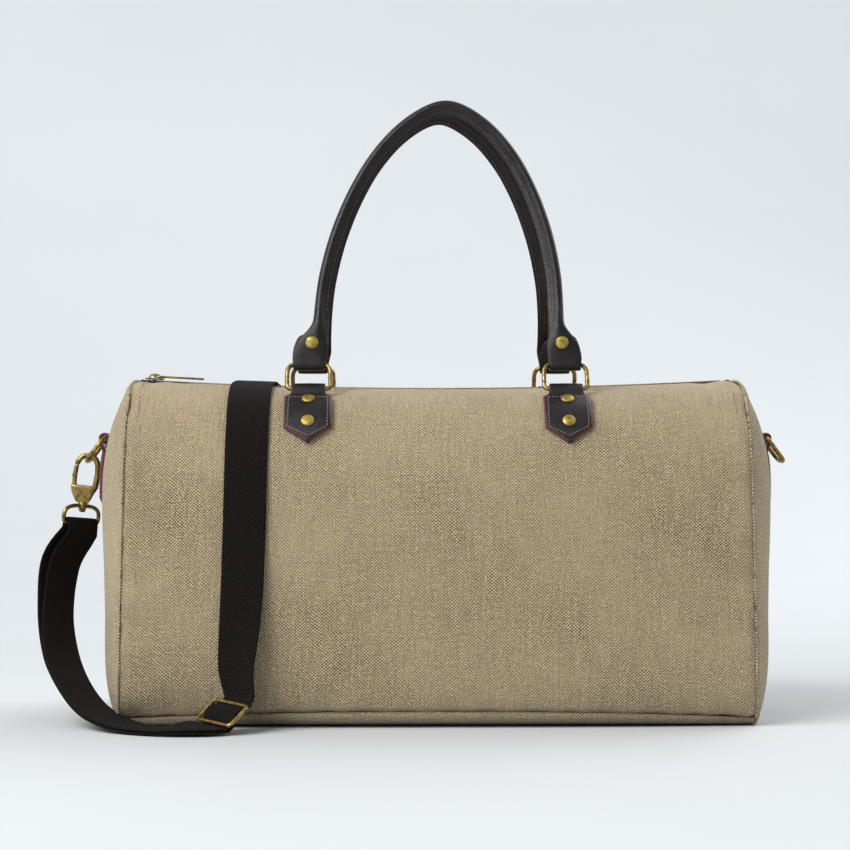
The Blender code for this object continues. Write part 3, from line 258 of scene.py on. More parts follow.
def patina_group() -> bpy.types.NodeTree:
    """Tarnish on brass: brown blotches, dark flecks and rubbed bright patches.

    Returns:
        A group with inputs Vector and Amount, and outputs Tarnish, Fleck and Scratch.
    """
    kinds = {"Vector": "NodeSocketVector", "Amount": "NodeSocketFloat"}
    group, g, given, out = shader_group("patina", kinds, ("Tarnish", "Fleck", "Scratch"))
    place = given.outputs["Vector"]
    cloud = g.noise(place, 260.0, 5.0)
    low = g.math("SUBTRACT", 0.72, g.times(given.outputs["Amount"], 0.5))
    spread = g.add("ShaderNodeMapRange", {"Value": cloud}, clamp=True)
    g.link(low, spread.inputs["From Min"])
    g.link(g.plus(low, 0.22), spread.inputs["From Max"])
    g.link(spread.outputs[0], out.inputs["Tarnish"])
    g.link(g.ramp(g.noise(place, 1500.0, 2.0), 0.60, 0.70), out.inputs["Fleck"])
    lines = g.noise(g.mapped(place, (4000.0, 350.0, 900.0)), 1.0, 2.0)
    g.link(lines, out.inputs["Scratch"])
    return group


class Groups:
    """The shared node groups, each made once."""

    def __init__(self) -> None:
        """Makes the three groups."""
        self.weave = weave_group()
        self.grain = grain_group()
        self.patina = patina_group()


# ---------------------------------------------------------------- finishes


@dataclass(frozen=True)
class Finish:
    """A named finish with a base colour, which builds one material."""

    name: str
    colour: tuple[float, float, float]
    roughness: float

    def start(self) -> tuple[bpy.types.Material, Graph, bpy.types.Node]:
        """Makes the material with its Principled BSDF.

        Returns:
            The material, its graph and the shader node.
        """
        made = bpy.data.materials.new(self.name)
        made.use_nodes = True
        shader = made.node_tree.nodes["Principled BSDF"]
        shader.inputs["Base Color"].default_value = (*self.colour, 1.0)
        shader.inputs["Roughness"].default_value = self.roughness
        made.diffuse_color = (*self.colour, 1.0)
        return made, Graph(made.node_tree), shader

    def toned(self, factor: float) -> tuple[float, ...]:
        """The base colour times a factor."""
        return tuple(c * factor for c in self.colour)


@dataclass(frozen=True)
class WovenFinish(Finish):
    """Plain woven cloth, laid out by the piece's UV map in metres or by its own coordinates."""

    shade: tuple[float, float, float] = (0.2, 0.16, 0.1)
    threads: float = 770.0
    relief: float = 0.0003
    use_uv: bool = True
    fade: float = 0.22
    contrast: float = 1.0
    dulled: float = 0.80
    # How dark the painted shade in the seams' grooves is, as a share of the cloth's colour; 0
    # paints none.
    seam_shade: float = 0.0
    # Painted shade at the foot: below this height the canvas colour is darkened towards the floor,
    # down to this share of its colour, standing in for the shade under the rounded base.
    soiled_height: float = 0.0085
    soiled_shade: float = 0.16

    def build(self, groups: Groups) -> bpy.types.Material:
        """Builds the material.

        Args:
            groups: The shared node groups.

        Returns:
            The material.
        """
        made, g, shader = self.start()
        place = g.cloth_place(self.use_uv)
        sockets = {"Vector": place, "Threads": self.threads}
        weave = g.add("ShaderNodeGroup", sockets, node_tree=groups.weave)
        fine = g.ramp(weave.outputs["Height"], 0.06, 0.32)
        pits = g.times(g.ramp(g.noise(place, 620.0, 2.0), 0.53, 0.63), 0.30)
        slub = g.ramp(weave.outputs["Slub"], 0.40, 0.60)
        light = tuple(min(1.0, c * (1 + self.fade)) for c in self.colour)
        dull = self.toned(self.dulled)
        tone = g.mix(slub, dull, light)
        gap = g.times(g.math("SUBTRACT", 1.0, fine), self.contrast)
        tone = g.mix(g.math("MAXIMUM", gap, pits), tone, self.shade)
        washed = g.ramp(g.noise(place, 11.0, 4.0), 0.32, 0.70)
        tone = g.mix(g.times(g.math("SUBTRACT", 1.0, washed), 0.45), tone, dull)
        # Painted shade along the seams: where the 'seam' mask is high, the colour is darkened,
        # unevenly, for the shade in the grooves between panels.
        if self.seam_shade:
            seam = g.add("ShaderNodeAttribute", attribute_name="seam").outputs["Fac"]
            broken = g.ramp(g.noise(place, 140.0, 3.0), 0.25, 0.75)
            uneven = g.plus(0.55, g.times(broken, 0.45))
            tone = g.mix(g.times(seam, uneven), tone, self.toned(self.seam_shade))
            # Painted shade at the foot: the colour darkens towards the floor over the piece's
            # lowest few millimetres, in place of the shade under the bag's rounded base.
            level = g.add("ShaderNodeSeparateXYZ", {0: g.own_place()}).outputs[2]
            painted_foot_shade_mask = g.math("SUBTRACT", 1.0, g.ramp(level, 0.0, self.soiled_height))
            painted_foot_shade_colour = self.toned(self.soiled_shade)
            tone = g.mix(g.times(painted_foot_shade_mask, 0.8), tone, painted_foot_shade_colour)
        g.link(tone, shader.inputs["Base Color"])
        height = g.plus(g.times(weave.outputs["Height"], 0.6), slub)
        g.link(g.bump(height, self.relief), shader.inputs["Normal"])
        shader.inputs["Sheen Weight"].default_value = 0.12
        shader.inputs["Sheen Roughness"].default_value = 0.6
        shader.inputs["Specular IOR Level"].default_value = 0.2
        return made


@dataclass(frozen=True)
class WebbingFinish(Finish):
    """Ribbed webbing: fine ribs across its length with a diagonal twill and stray pale fibres."""

    rib: float = 560.0
    twill: float = 620.0
    relief: float = 0.00045
    use_uv: bool = True
    speck: tuple[float, float, float] = (0.042, 0.031, 0.031)

    def build(self, groups: Groups) -> bpy.types.Material:
        """Builds the material.

        Args:
            groups: The shared node groups, of which none is needed here.

        Returns:
            The material.
        """
        made, g, shader = self.start()
        place = g.cloth_place(self.use_uv)
        parts = g.add("ShaderNodeSeparateXYZ", {0: place})
        across = g.times(parts.outputs[0], self.rib * math.pi)
        along = g.times(parts.outputs[1], self.twill * math.pi)
        diagonal = g.plus(across, along)
        ribs = g.math("ABSOLUTE", g.math("SINE", across))
        slope = g.math("ABSOLUTE", g.math("SINE", diagonal))
        height = g.plus(g.times(ribs, 0.4), g.times(slope, 0.6))
        lint = g.ramp(g.noise(g.mapped(place, (1500.0, 900.0, 900.0)), 1.0, 2.0), 0.50, 0.72)
        slow = g.ramp(g.noise(place, 45.0, 3.0), 0.3, 0.7)
        tone = g.mix(g.ramp(height, 0.15, 0.9), self.toned(0.55), self.colour)
        tone = g.mix(g.times(slow, 0.35), tone, self.toned(1.35))
        tone = g.mix(g.times(lint, 0.6), tone, self.speck)
        g.link(tone, shader.inputs["Base Color"])
        g.link(g.bump(height, self.relief), shader.inputs["Normal"])
        shader.inputs["Sheen Weight"].default_value = 0.02
        shader.inputs["Specular IOR Level"].default_value = 0.12
        return made


@dataclass(frozen=True)
class LeatherFinish(Finish):
    """Semi-gloss leather with grain, rubbed lighter here and there."""

    cells: float = 950.0
    relief: float = 0.00007
    rub: tuple[float, float, float] = (0.017, 0.0100, 0.0100)

    def build(self, groups: Groups) -> bpy.types.Material:
        """Builds the material.

        Args:
            groups: The shared node groups.

        Returns:
            The material.
        """
        made, g, shader = self.start()
        sockets = {"Vector": g.own_place(), "Cells": self.cells}
        grain = g.add("ShaderNodeGroup", sockets, node_tree=groups.grain)
        tone = g.mix(g.ramp(grain.outputs["Tone"], 0.35, 0.75), self.colour, self.rub)
        tone = g.mix(g.times(grain.outputs["Height"], 0.35), tone, self.colour)
        g.link(tone, shader.inputs["Base Color"])
        gloss = g.times(g.ramp(grain.outputs["Tone"], 0.3, 0.8), 0.16)
        g.link(g.plus(gloss, self.roughness), shader.inputs["Roughness"])
        g.link(g.bump(grain.outputs["Height"], self.relief), shader.inputs["Normal"])
        shader.inputs["Specular IOR Level"].default_value = 0.38
        return made


@dataclass(frozen=True)
class BrassFinish(Finish):
    """Brass with tarnish."""

    tarnish: tuple[float, float, float] = (0.09, 0.055, 0.02)
    amount: float = 0.6
    relief: float = 0.00005

    def build(self, groups: Groups) -> bpy.types.Material:
        """Builds the material.

        Args:
            groups: The shared node groups.

        Returns:
            The material.
        """
        made, g, shader = self.start()
        sockets = {"Vector": g.own_place(), "Amount": self.amount}
        patina = g.add("ShaderNodeGroup", sockets, node_tree=groups.patina)
        tone = g.mix(patina.outputs["Tarnish"], self.colour, self.tarnish)
        fleck = g.times(patina.outputs["Fleck"], 0.7)
        tone = g.mix(fleck, tone, tuple(c * 0.4 for c in self.tarnish))
        g.link(tone, shader.inputs["Base Color"])
        rough = g.times(patina.outputs["Tarnish"], 0.22)
        rough = g.plus(rough, g.times(patina.outputs["Scratch"], 0.12))
        g.link(g.plus(rough, self.roughness), shader.inputs["Roughness"])
        height = g.math("SUBTRACT", patina.outputs["Scratch"], patina.outputs["Fleck"])
        g.link(g.bump(height, self.relief, 0.6), shader.inputs["Normal"])
        shader.inputs["Metallic"].default_value = 1.0
        return made


@dataclass(frozen=True)
class PlainFinish(Finish):
    """A quiet finish, such as thread, edge paint, board or the studio floor, with fine mottle."""

    mottle: float = 0.2
    scale: float = 600.0
    relief: float = 0.00005

    def build(self, groups: Groups) -> bpy.types.Material:
        """Builds the material.

        Args:
            groups: The shared node groups, of which none is needed here.

        Returns:
            The material.
        """
        made, g, shader = self.start()
        speckle = g.noise(g.own_place(), self.scale, 3.0)
        tone = g.mix(g.ramp(speckle, 0.35, 0.65), self.toned(1 - self.mottle), self.colour)
        g.link(tone, shader.inputs["Base Color"])
        if self.relief:
            g.link(g.bump(speckle, self.relief), shader.inputs["Normal"])
        return made


class Palette:
    """Every finish on the bag, built once."""

    def __init__(self, groups: Groups) -> None:
        """Builds the materials from the shared node groups."""
        canvas = (0.602, 0.473, 0.295)
        shade = (0.022, 0.014, 0.006)
        finishes = {
            "canvas": WovenFinish("canvas", canvas, 0.88, shade=shade, seam_shade=0.22),
            "lining": WovenFinish(
                "lining", (0.22, 0.17, 0.11), 0.9, shade=(0.12, 0.09, 0.06), use_uv=False
            ),
            "board": PlainFinish("board", (0.30, 0.22, 0.13), 0.8, mottle=0.35, scale=900.0),
            "leather": LeatherFinish("leather", (0.0042, 0.0020, 0.0022), 0.22),
            "edge": PlainFinish("edge_paint", (0.19, 0.030, 0.050), 0.6, mottle=0.7),
            "thread": PlainFinish("thread", (0.30, 0.20, 0.19), 0.7, scale=2400.0),
            "dark_thread": PlainFinish("dark_thread", (0.085, 0.045, 0.045), 0.7, scale=2400.0),
            "canvas_thread": PlainFinish("canvas_thread", (0.23, 0.17, 0.10), 0.8, scale=2400.0),
            "webbing": WebbingFinish("webbing", (0.0058, 0.0036, 0.0035), 0.9),
            "tape": WebbingFinish("zip_tape", (0.045, 0.032, 0.026), 0.85, use_uv=False),
            "rivet": BrassFinish(
                "rivet_brass", (0.47, 0.355, 0.10), 0.40, tarnish=(0.21, 0.155, 0.04), amount=0.55
            ),
            "brass": BrassFinish(
                "antique_brass", (0.42, 0.29, 0.10), 0.28, tarnish=(0.11, 0.072, 0.025), amount=0.55
            ),
            "buckle": BrassFinish(
                "buckle_brass", (0.50, 0.35, 0.12), 0.28, tarnish=(0.16, 0.10, 0.035), amount=0.6
            ),
        }
        self.made = {name: finish.build(groups) for name, finish in finishes.items()}

    def __getitem__(self, name: str) -> bpy.types.Material:
        """The material of this name."""
        return self.made[name]


# ---------------------------------------------------------------- mesh helpers


def deselect() -> None:
    """Deselects every object."""
    bpy.ops.object.select_all(action="DESELECT")


def only(obj: bpy.types.Object) -> bpy.types.Object:
    """Selects this object alone and makes it active."""
    deselect()
    obj.select_set(True)
    bpy.context.view_layer.objects.active = obj
    return obj


def settle(obj: bpy.types.Object) -> bpy.types.Object:
    """Bakes an object's place into its mesh, so that it sits at the origin."""
    only(obj)
    bpy.ops.object.transform_apply(location=True, rotation=True, scale=True)
    return obj


def apply_modifiers(obj: bpy.types.Object) -> bpy.types.Object:
    """Applies every modifier of an object in order."""
    only(obj)
    for modifier in list(obj.modifiers):
        bpy.ops.object.modifier_apply(modifier=modifier.name)
    return obj


def shade(obj: bpy.types.Object, degrees: float = 40.0) -> bpy.types.Object:
    """Shades an object smooth, with sharp edges over an angle."""
    only(obj)
    bpy.ops.object.shade_smooth_by_angle(angle=math.radians(degrees))
    return obj


def join(objects: Sequence[bpy.types.Object], name: str) -> bpy.types.Object:
    """Joins objects into the first of them and names it."""
    only(objects[0])
    for other in objects[1:]:
        other.select_set(True)
    if len(objects) > 1:
        bpy.ops.object.join()
    made = objects[0]
    made.name = name
    made.data.name = name
    return made


def paint(obj: bpy.types.Object, *materials: bpy.types.Material) -> bpy.types.Object:
    """Gives an object these material slots, keeping its faces' numbers."""
    if obj.data.materials:
        obj.data.materials.clear()
    for material in materials:
        obj.data.materials.append(material)
    return obj


def place_in_scene(name: str, data: bpy.types.ID) -> bpy.types.Object:
    """A new object with this data, linked to the scene."""
    made = bpy.data.objects.new(name, data)
    bpy.context.scene.collection.objects.link(made)
    return made


def from_points(
    name: str, points: Sequence[Vector], faces: Sequence[Sequence[int]]
) -> bpy.types.Object:
    """A mesh object from its vertices and the vertex numbers of each face."""
    mesh = bpy.data.meshes.new(name)
    mesh.from_pydata([tuple(p) for p in points], [], [tuple(f) for f in faces])
    return place_in_scene(name, mesh)


def quads(rows: int, width: int, closed: bool = False, first: int = 0) -> list[tuple[int, ...]]:
    """The faces of a grid of vertices that come row after row.

    Args:
        rows: How many rows there are.
        width: Vertices in each row.
        closed: Whether each row runs back into itself.
        first: The number of the first vertex.

    Returns:
        The vertex numbers of each face.
    """
    made = []
    for row in range(rows - 1):
        a = first + row * width
        for i in range(width if closed else width - 1):
            k = (i + 1) % width
            made.append((a + i, a + k, a + width + k, a + width + i))
    return made


def lay_uv(obj: bpy.types.Object, uvs: Sequence[tuple[float, float]]) -> None:
    """Gives a piece its UV map in metres, from one pair for each vertex."""
    layer = obj.data.uv_layers.new(name="cloth")
    for corner in obj.data.loops:
        layer.data[corner.index].uv = uvs[corner.vertex_index]


def thicken(obj: bpy.types.Object, wall: float) -> bpy.types.Object:
    """Gives a sheet a wall on its inner side, and shades it by angle."""
    solid = obj.modifiers.new("wall", "SOLIDIFY")
    solid.thickness = wall
    solid.offset = -1
    apply_modifiers(obj)
    return shade(obj, 55)


def ease_edges(obj: bpy.types.Object, width: float, segments: int) -> bpy.types.Modifier:
    """Adds a bevel to an object's edges."""
    ease = obj.modifiers.new("ease", "BEVEL")
    ease.width = width
    ease.segments = segments
    return ease


def block(centre: Sequence[float], size: Sequence[float], cuts: int = 0) -> bpy.types.Object:
    """A box to be shaped further, with its size applied and its place not.

    Args:
        centre: Its middle.
        size: Its length, width and height.
        cuts: How often each edge is cut.

    Returns:
        The object.
    """
    deselect()
    bpy.ops.mesh.primitive_cube_add(size=1.0, location=centre)
    made = bpy.context.view_layer.objects.active
    made.scale = size
    bpy.ops.object.transform_apply(location=False, rotation=False, scale=True)
    if cuts:
        bpy.ops.object.mode_set(mode="EDIT")
        bpy.ops.mesh.select_all(action="SELECT")
        bpy.ops.mesh.subdivide(number_cuts=cuts)
        bpy.ops.object.mode_set(mode="OBJECT")
    return made


def face_out(obj: bpy.types.Object, merge: bool = False) -> bpy.types.Object:
    """Turns every face of a closed shape outwards, after merging its doubled points if asked."""
    only(obj)
    bpy.ops.object.mode_set(mode="EDIT")
    bpy.ops.mesh.select_all(action="SELECT")
    if merge:
        bpy.ops.mesh.remove_doubles(threshold=1e-6)
    bpy.ops.mesh.normals_make_consistent(inside=False)
    bpy.ops.object.mode_set(mode="OBJECT")
    return obj


def dress(
    obj: bpy.types.Object, materials: Sequence[bpy.types.Material], body: str, node: str
) -> bpy.types.Object:
    """Gives a finished piece its materials and its place in the frame.

    Args:
        obj: The piece.
        materials: Its material slots.
        body: The body that it rides on.
        node: The frame's node that it stands for, or nothing.

    Returns:
        The piece.
    """
    paint(obj, *materials)
    if body:
        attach(obj, body)
    if node:
        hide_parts(node)
    return obj


# ---------------------------------------------------------------- lines in space


def running_lengths(points: Sequence[Sequence[float]]) -> list[float]:
    """The distance along a line at each of its points."""
    lengths = [0.0]
    for a, b in zip(points, points[1:]):
        lengths.append(lengths[-1] + math.dist(a, b))
    return lengths


def locate(lengths: Sequence[float], target: float) -> tuple[int, float]:
    """The stretch of a line that holds a distance, and the distance's share of it."""
    index = 0
    while index < len(lengths) - 2 and lengths[index + 1] < target:
        index += 1
    span = lengths[index + 1] - lengths[index]
    return index, (target - lengths[index]) / span if span else 0.0


def direction(points: Sequence[Vector], index: int) -> Vector:
    """The way a line runs at one of its points."""
    before, after = points[max(index - 1, 0)], points[min(index + 1, len(points) - 1)]
    return (after - before).normalized()


def circle(count: int) -> list[tuple[float, float]]:
    """Points evenly round the unit circle."""
    turns = (2 * math.pi * i / count for i in range(count))
    return [(math.cos(a), math.sin(a)) for a in turns]


def squircle(angle: float, power: float) -> tuple[float, float]:
    """A point on the unit superellipse at a polar angle: a circle at power 2, squarer above it."""
    c, s = math.cos(angle), math.sin(angle)
    reach = (abs(c) ** power + abs(s) ** power) ** (-1 / power)
    return reach * c, reach * s


def clamp(value: float) -> float:
    """The value kept between 0 and 1."""
    return min(1.0, max(0.0, value))


def bell(distance: float, width: float) -> float:
    """1 at no distance, falling to nothing within about two widths."""
    return math.exp(-((distance / width) ** 2))


def smooth_step(value: float) -> float:
    """0 below 0, 1 above 1, and an S-curve between."""
    share = clamp(value)
    return share * share * (3 - 2 * share)


def smooth_path(points: Sequence[Sequence[float]], step: float) -> list[tuple[float, ...]]:
    """Points about a step apart on the Catmull-Rom curve through the given rows.

    Args:
        points: Rows of numbers whose first three are a place.
        step: The distance between made points.

    Returns:
        The rows on the curve, ending on the last given one.
    """
    padded = [points[0], *points, points[-1]]
    made = []
    for i in range(1, len(padded) - 2):
        p0, p1, p2, p3 = padded[i - 1 : i + 3]
        count = max(1, round(math.dist(p1[:3], p2[:3]) / step))
        for k in range(count):
            t = k / count
            made.append(
                tuple(
                    0.5 * (2 * b + (c - a) * t + (2 * a - 5 * b + 4 * c - d) * t * t
                           + (3 * b - a - 3 * c + d) * t**3)
                    for a, b, c, d in zip(p0, p1, p2, p3)
                )
            )
    made.append(tuple(points[-1]))
    return made


def wire(
    name: str, points: Sequence[Vector], radius: float | Sequence[float], closed: bool = False,
    sides: int = 16,
) -> bpy.types.Object:
    """A round wire along points, made as a bevelled curve and converted to a mesh.

    Args:
        name: The object's name.
        points: The centre line.
        radius: One radius, or one for each point.
        closed: Whether the wire runs back into itself.
        sides: Faces round the wire.

    Returns:
        The mesh object.
    """
    curve = bpy.data.curves.new(name, "CURVE")
    curve.dimensions = "3D"
    curve.bevel_depth = 1.0
    curve.bevel_resolution = (sides - 4) // 2
    curve.use_fill_caps = not closed
    spline = curve.splines.new("POLY")
    spline.points.add(len(points) - 1)
    radii = [radius] * len(points) if isinstance(radius, float) else list(radius)
    for point, place, size in zip(spline.points, points, radii):
        point.co = (*place, 1.0)
        point.radius = size
    spline.use_cyclic_u = closed
    only(place_in_scene(name, curve))
    bpy.ops.object.convert(target="MESH")
    return face_out(bpy.context.view_layer.objects.active, merge=True)


def loft(
    name: str, loops: Sequence[Sequence[Vector]], slot_of: Callable[[int], int] | None = None
) -> bpy.types.Object:
    """A capped skin over loops of equal length.

    Args:
        name: The object's name.
        loops: The sections, in order.
        slot_of: A face's material number by its place in the section.

    Returns:
        The mesh object, facing out.
    """
    count = len(loops[0])
    points = [point for loop in loops for point in loop]
    faces = quads(len(loops), count, closed=True)
    faces.append(tuple(range(count)))
    faces.append(tuple(range((len(loops) - 1) * count, len(loops) * count)))
    made = from_points(name, points, faces)
    if slot_of:
        for index, polygon in enumerate(made.data.polygons[:-2]):
            polygon.material_index = slot_of(index % count)
        for polygon in made.data.polygons[-2:]:
            polygon.material_index = 1
    return face_out(made)


@dataclass(frozen=True)
class Frame:
    """A local frame: right and up in a piece's plane, and out of it."""

    origin: Vector
    right: Vector
    up: Vector

    @property
    def out(self) -> Vector:
        """The direction out of the plane."""
        return self.right.cross(self.up)

    def at(self, right: float, up: float, out: float = 0.0) -> Vector:
        """The point at these distances from the origin."""
        return self.origin + self.right * right + self.up * up + self.out * out

    def turned(self, degrees: float) -> "Frame":
        """The same frame turned about its up axis."""
        a = math.radians(degrees)
        return Frame(self.origin, self.right * math.cos(a) + self.out * math.sin(a), self.up)


class Stitches:
    """Rows of short sewn stitches, gathered into one object."""

    # (share of the length, share of the radius, lift in radii) along one stitch
    BAR = ((0.0, 0.45, -0.5), (0.22, 1.0, 0.25), (0.78, 1.0, 0.25), (1.0, 0.45, -0.5))

    def __init__(self, name: str, material: bpy.types.Material, radius: float = 0.00033) -> None:
        """Starts an empty set.

        Args:
            name: The object's name.
            material: The thread.
            radius: Half the thread's thickness.
        """
        self.name = name
        self.material = material
        self.radius = radius
        self.points: list[Vector] = []
        self.faces: list[tuple[int, ...]] = []

    def stitch(self, start: Vector, end: Vector, outward: Vector) -> None:
        """Adds one stitch: a short bar, thick in its middle and sunk at its ends.

        Args:
            start: Where the thread comes up.
            end: Where it goes down.
            outward: Away from the cloth.
        """
        along = (end - start).normalized()
        across = outward.cross(along).normalized()
        base = len(self.points)
        sides = 6
        for share, swell, lift in self.BAR:
            centre = start.lerp(end, share) + outward * (lift * self.radius)
            reach = self.radius * swell
            for c, s in circle(sides):
                self.points.append(centre + across * (reach * c) + outward * (reach * s))
        self.faces += quads(len(self.BAR), sides, closed=True, first=base)
        self.faces.append(tuple(base + i for i in reversed(range(sides))))
        last = base + (len(self.BAR) - 1) * sides
        self.faces.append(tuple(last + i for i in range(sides)))

    def row(
        self, places: Sequence[tuple[Vector, Vector]], pitch: float, share: float = 0.72
    ) -> None:
        """Sews along a line.

        Args:
            places: (point, outward) pairs along the line.
            pitch: Distance from one stitch to the next.
            share: How much of the pitch the thread shows.
        """
        lengths = running_lengths([point for point, _ in places])
        total = lengths[-1]
        count = max(1, round(total / pitch))

        def place(distance: float) -> tuple[Vector, Vector]:
            """The point and outward direction at a distance along the line."""
            index, t = locate(lengths, distance)
            t = clamp(t)
            (a, m), (b, n) = places[index], places[index + 1]
            return a.lerp(b, t), m.lerp(n, t).normalized()

        for i in range(count):
            middle = total * (i + 0.5) / count
            half = 0.5 * share * total / count
            start, _ = place(middle - half)
            end, outward = place(middle + half)
            self.stitch(start, end, outward)

    def build(self, body: str, slot: str) -> bpy.types.Object:
        """Makes the object, riding on a body; the slot is not used."""
        made = from_points(self.name, self.points, self.faces)
        for polygon in made.data.polygons:
            polygon.use_smooth = True
        return dress(made, [self.material], body, "")


# ---------------------------------------------------------------- the bag's shape


@dataclass
class BagShape:
    """The bag's outer surface: a superellipse section swept along a sagging mouth."""

    end_taper: float = 0.008
    mouth_rise: float = 0.0066
    widest: float = 0.120
    shoulder_power: float = 3.5
    foot_power: float = 9.0
    seam_rise: float = 0.012
    seam_drop: float = 0.006
    base_flat: float = 0.090
    mouth_width: float = 0.021
    zip_margin: float = 0.004
    wall: float = 0.0016
    gap: float = 0.0003
    bulge: float = 0.0245
    low_tuck: float = 0.24
    flare: float = 0.0026
    teeth_top: float = 0.0008
    teeth_margin: float = 0.0033

    def __post_init__(self) -> None:
        """Takes the overall sizes from the frame."""
        low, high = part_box("front_panel")
        self.half_length = high.x
        self.half_width = -low.y
        self.zip_half = self.half_length - self.zip_margin
        self.radius = (self.zip_half**2 + self.mouth_rise**2) / (2 * self.mouth_rise)
        teeth_end = self.lift(self.zip_half - self.teeth_margin)
        self.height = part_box("zip_teeth_front")[1].z - self.teeth_top - teeth_end

    def leant(self, point: Vector) -> Vector:
        """The point moved along the bag, as its ends lean in at the top and out at the base."""
        share = (self.widest - point.z) / self.widest
        return point + X_AXIS * (self.flare * share * (point.x / self.half_length) ** 3)

    def lift(self, x: float) -> float:
        """How far the mouth stands above its middle at x."""
        return self.radius - math.sqrt(self.radius**2 - x * x)

    def mouth(self, x: float) -> float:
        """Height of the mouth at x."""
        return self.height + self.lift(x)

    def half_depth(self, x: float) -> float:
        """Half the bag's depth at x."""
        return self.half_width - self.end_taper * abs(x / self.half_length) ** 3

    def seam_height(self, x: float) -> float:
        """Height of the seam over the base."""
        return self.seam_rise - self.seam_drop * abs(x / self.half_length) ** 2.5

    def foot(self, x: float, z: float) -> float:
        """Half depth at a height below the widest line."""
        share = min(1.0, (self.widest - z) / self.widest)
        return self.half_depth(x) * (1 - share**self.foot_power) ** (1 / self.foot_power)

    def shoulder(self, x: float, angle: float, inset: float = 0.0) -> tuple[float, float]:
        """(y, z) at a polar angle above the widest line."""
        out, up = squircle(angle, self.shoulder_power)
        rise = self.mouth(x) - self.widest - inset
        return (self.half_depth(x) - inset) * out, self.widest + rise * up

    def mouth_angle(self, x: float, edge: float, inset: float = 0.0) -> float:
        """The polar angle where the shoulder comes in to y = edge."""
        low, high = 0.5, math.pi / 2
        for _ in range(40):
            middle = (low + high) / 2
            if self.shoulder(x, middle, inset)[0] > edge:
                low = middle
            else:
                high = middle
        return low

    def side_profile(self, x: float, rows: int) -> list[tuple[float, float]]:
        """Evenly spaced (y, z) points from the base seam up to the mouth."""
        start = self.seam_height(x)
        heights = [start + (self.widest - start) * i / 60 for i in range(60)]
        fine = [(self.foot(x, z), z) for z in heights]
        end = self.mouth_angle(x, self.mouth_width / 2)
        fine += [self.shoulder(x, end * i / 160) for i in range(161)]
        return resample(fine, rows)

    def base_profile(self, x: float) -> list[tuple[float, float]]:
        """(y, z) points under the bag from the front seam to the back seam."""
        top = self.seam_height(x)
        rising = []
        for i in range(13):
            share = i / 12
            y = self.base_flat + (self.foot(x, top) - self.base_flat) * (1 - (1 - share) ** 2.2)
            rising.append((y, top * share**1.5))
        middle = [(self.base_flat * i / 10, 0.0) for i in range(-9, 10)]
        return [(-y, z) for y, z in reversed(rising)] + middle + rising

    def end_x(self, share: float, height: float) -> float:
        """How far out an end panel stands at a share of the way to its rim."""
        swell = self.bulge * (1 - share**4) * (1 - 0.10 * (height / self.height))
        swell *= 1 - self.low_tuck * clamp((0.190 - height) / 0.110)
        return self.half_length + self.gap + self.wall + swell

    def end_surface_x(self, z: float) -> float:
        """X of the right end panel on the bag's centre line, at height z."""
        share = (z - self.widest) / (self.mouth(self.half_length) - self.widest)
        return self.end_x(share, z)


def side_normal(profile: Sequence[tuple[float, float]], index: int, side: Side) -> Vector:
    """The outward direction at one point of a (y, z) profile of a long face."""
    before, after = profile[max(index - 1, 0)], profile[min(index + 1, len(profile) - 1)]
    along = Vector((0, after[0] - before[0], after[1] - before[1])).normalized()
    return Vector((0, side.value * along.z, -along.y))


def resample(points: Sequence[tuple[float, float]], rows: int) -> list[tuple[float, float]]:
    """Points evenly spaced along a line, with its two ends kept."""
    lengths = running_lengths(points)
    made = []
    for i in range(rows + 1):
        index, share = locate(lengths, lengths[-1] * i / rows)
        t = min(1.0, share)
        a, b = points[index], points[index + 1]
        made.append((a[0] + (b[0] - a[0]) * t, a[1] + (b[1] - a[1]) * t))
    return made


class Line:
    """A line over the bag's outside, read by the distance along it from a named point."""

    def __init__(self, points: Sequence[Vector], zero: Vector, across: Vector) -> None:
        """Measures the line.

        Args:
            points: Its points in order.
            zero: The one from which distance is counted.
            across: The direction over the surface, square to the line.
        """
        self.points = list(points)
        self.across = across
        self.lengths = running_lengths(self.points)
        nearest = min(range(len(self.points)), key=lambda i: (self.points[i] - zero).length)
        self.zero = self.lengths[nearest]

    def at(self, distance: float) -> tuple[Vector, Vector, Vector]:
        """(point, tangent, normal) at a distance."""
        index, share = locate(self.lengths, distance + self.zero)
        a, b = self.points[index], self.points[index + 1]
        tangent = (b - a).normalized()
        return a + (b - a) * share, tangent, self.across.cross(tangent).normalized()

    def place(self, distance: float, height: float, sideways: float = 0.0) -> Vector:
        """The point at a distance, a height off the surface and a way across it."""
        point, _, normal = self.at(distance)
        return point + normal * height + self.across * sideways


@dataclass
class Hardware:
    """Sizes shared by the rings and the leather that holds them."""

    wire: float = 0.0035
    ring_width: float = 0.0365
    ring_height: float = 0.026
    spacing: float = 0.196
    ring_y: float = 0.070
    ring_lean: float = math.radians(30)
    leather: float = 0.0018
    side_height: float = 0.2145
    side_drop: float = math.radians(53)
    gap: float = 0.0003

    @property
    def bar_height(self) -> float:
        """Height of a ring's bar over the surface."""
        return 3 * self.gap + self.leather + self.wire / 2

    def shoulder_line(self, shape: BagShape, x: float, side: Side) -> Line:
        """The line over the shoulder at x, from near the mouth down the panel."""
        start = shape.mouth_angle(x, 0.030)
        points = []
        for i in range(61):
            y, z = shape.shoulder(x, start * (1 - i / 60))
            points.append(Vector((x, side.value * y, z)))
        zero = min(points, key=lambda p: abs(abs(p.y) - self.ring_y))
        return Line(points, zero, X_AXIS * side.value)

    def end_line(self, shape: BagShape, hand: Hand) -> Line:
        """The line down the middle of an end panel."""
        top = shape.mouth(shape.half_length) - 0.006
        points = []
        for i in range(61):
            z = top - (top - shape.widest) * i / 60
            points.append(Vector((hand.value * shape.end_surface_x(z), 0, z)))
        zero = min(points, key=lambda p: abs(p.z - self.side_height))
        return Line(points, zero, Y_AXIS * -hand.value)


# ---------------------------------------------------------------- the canvas body


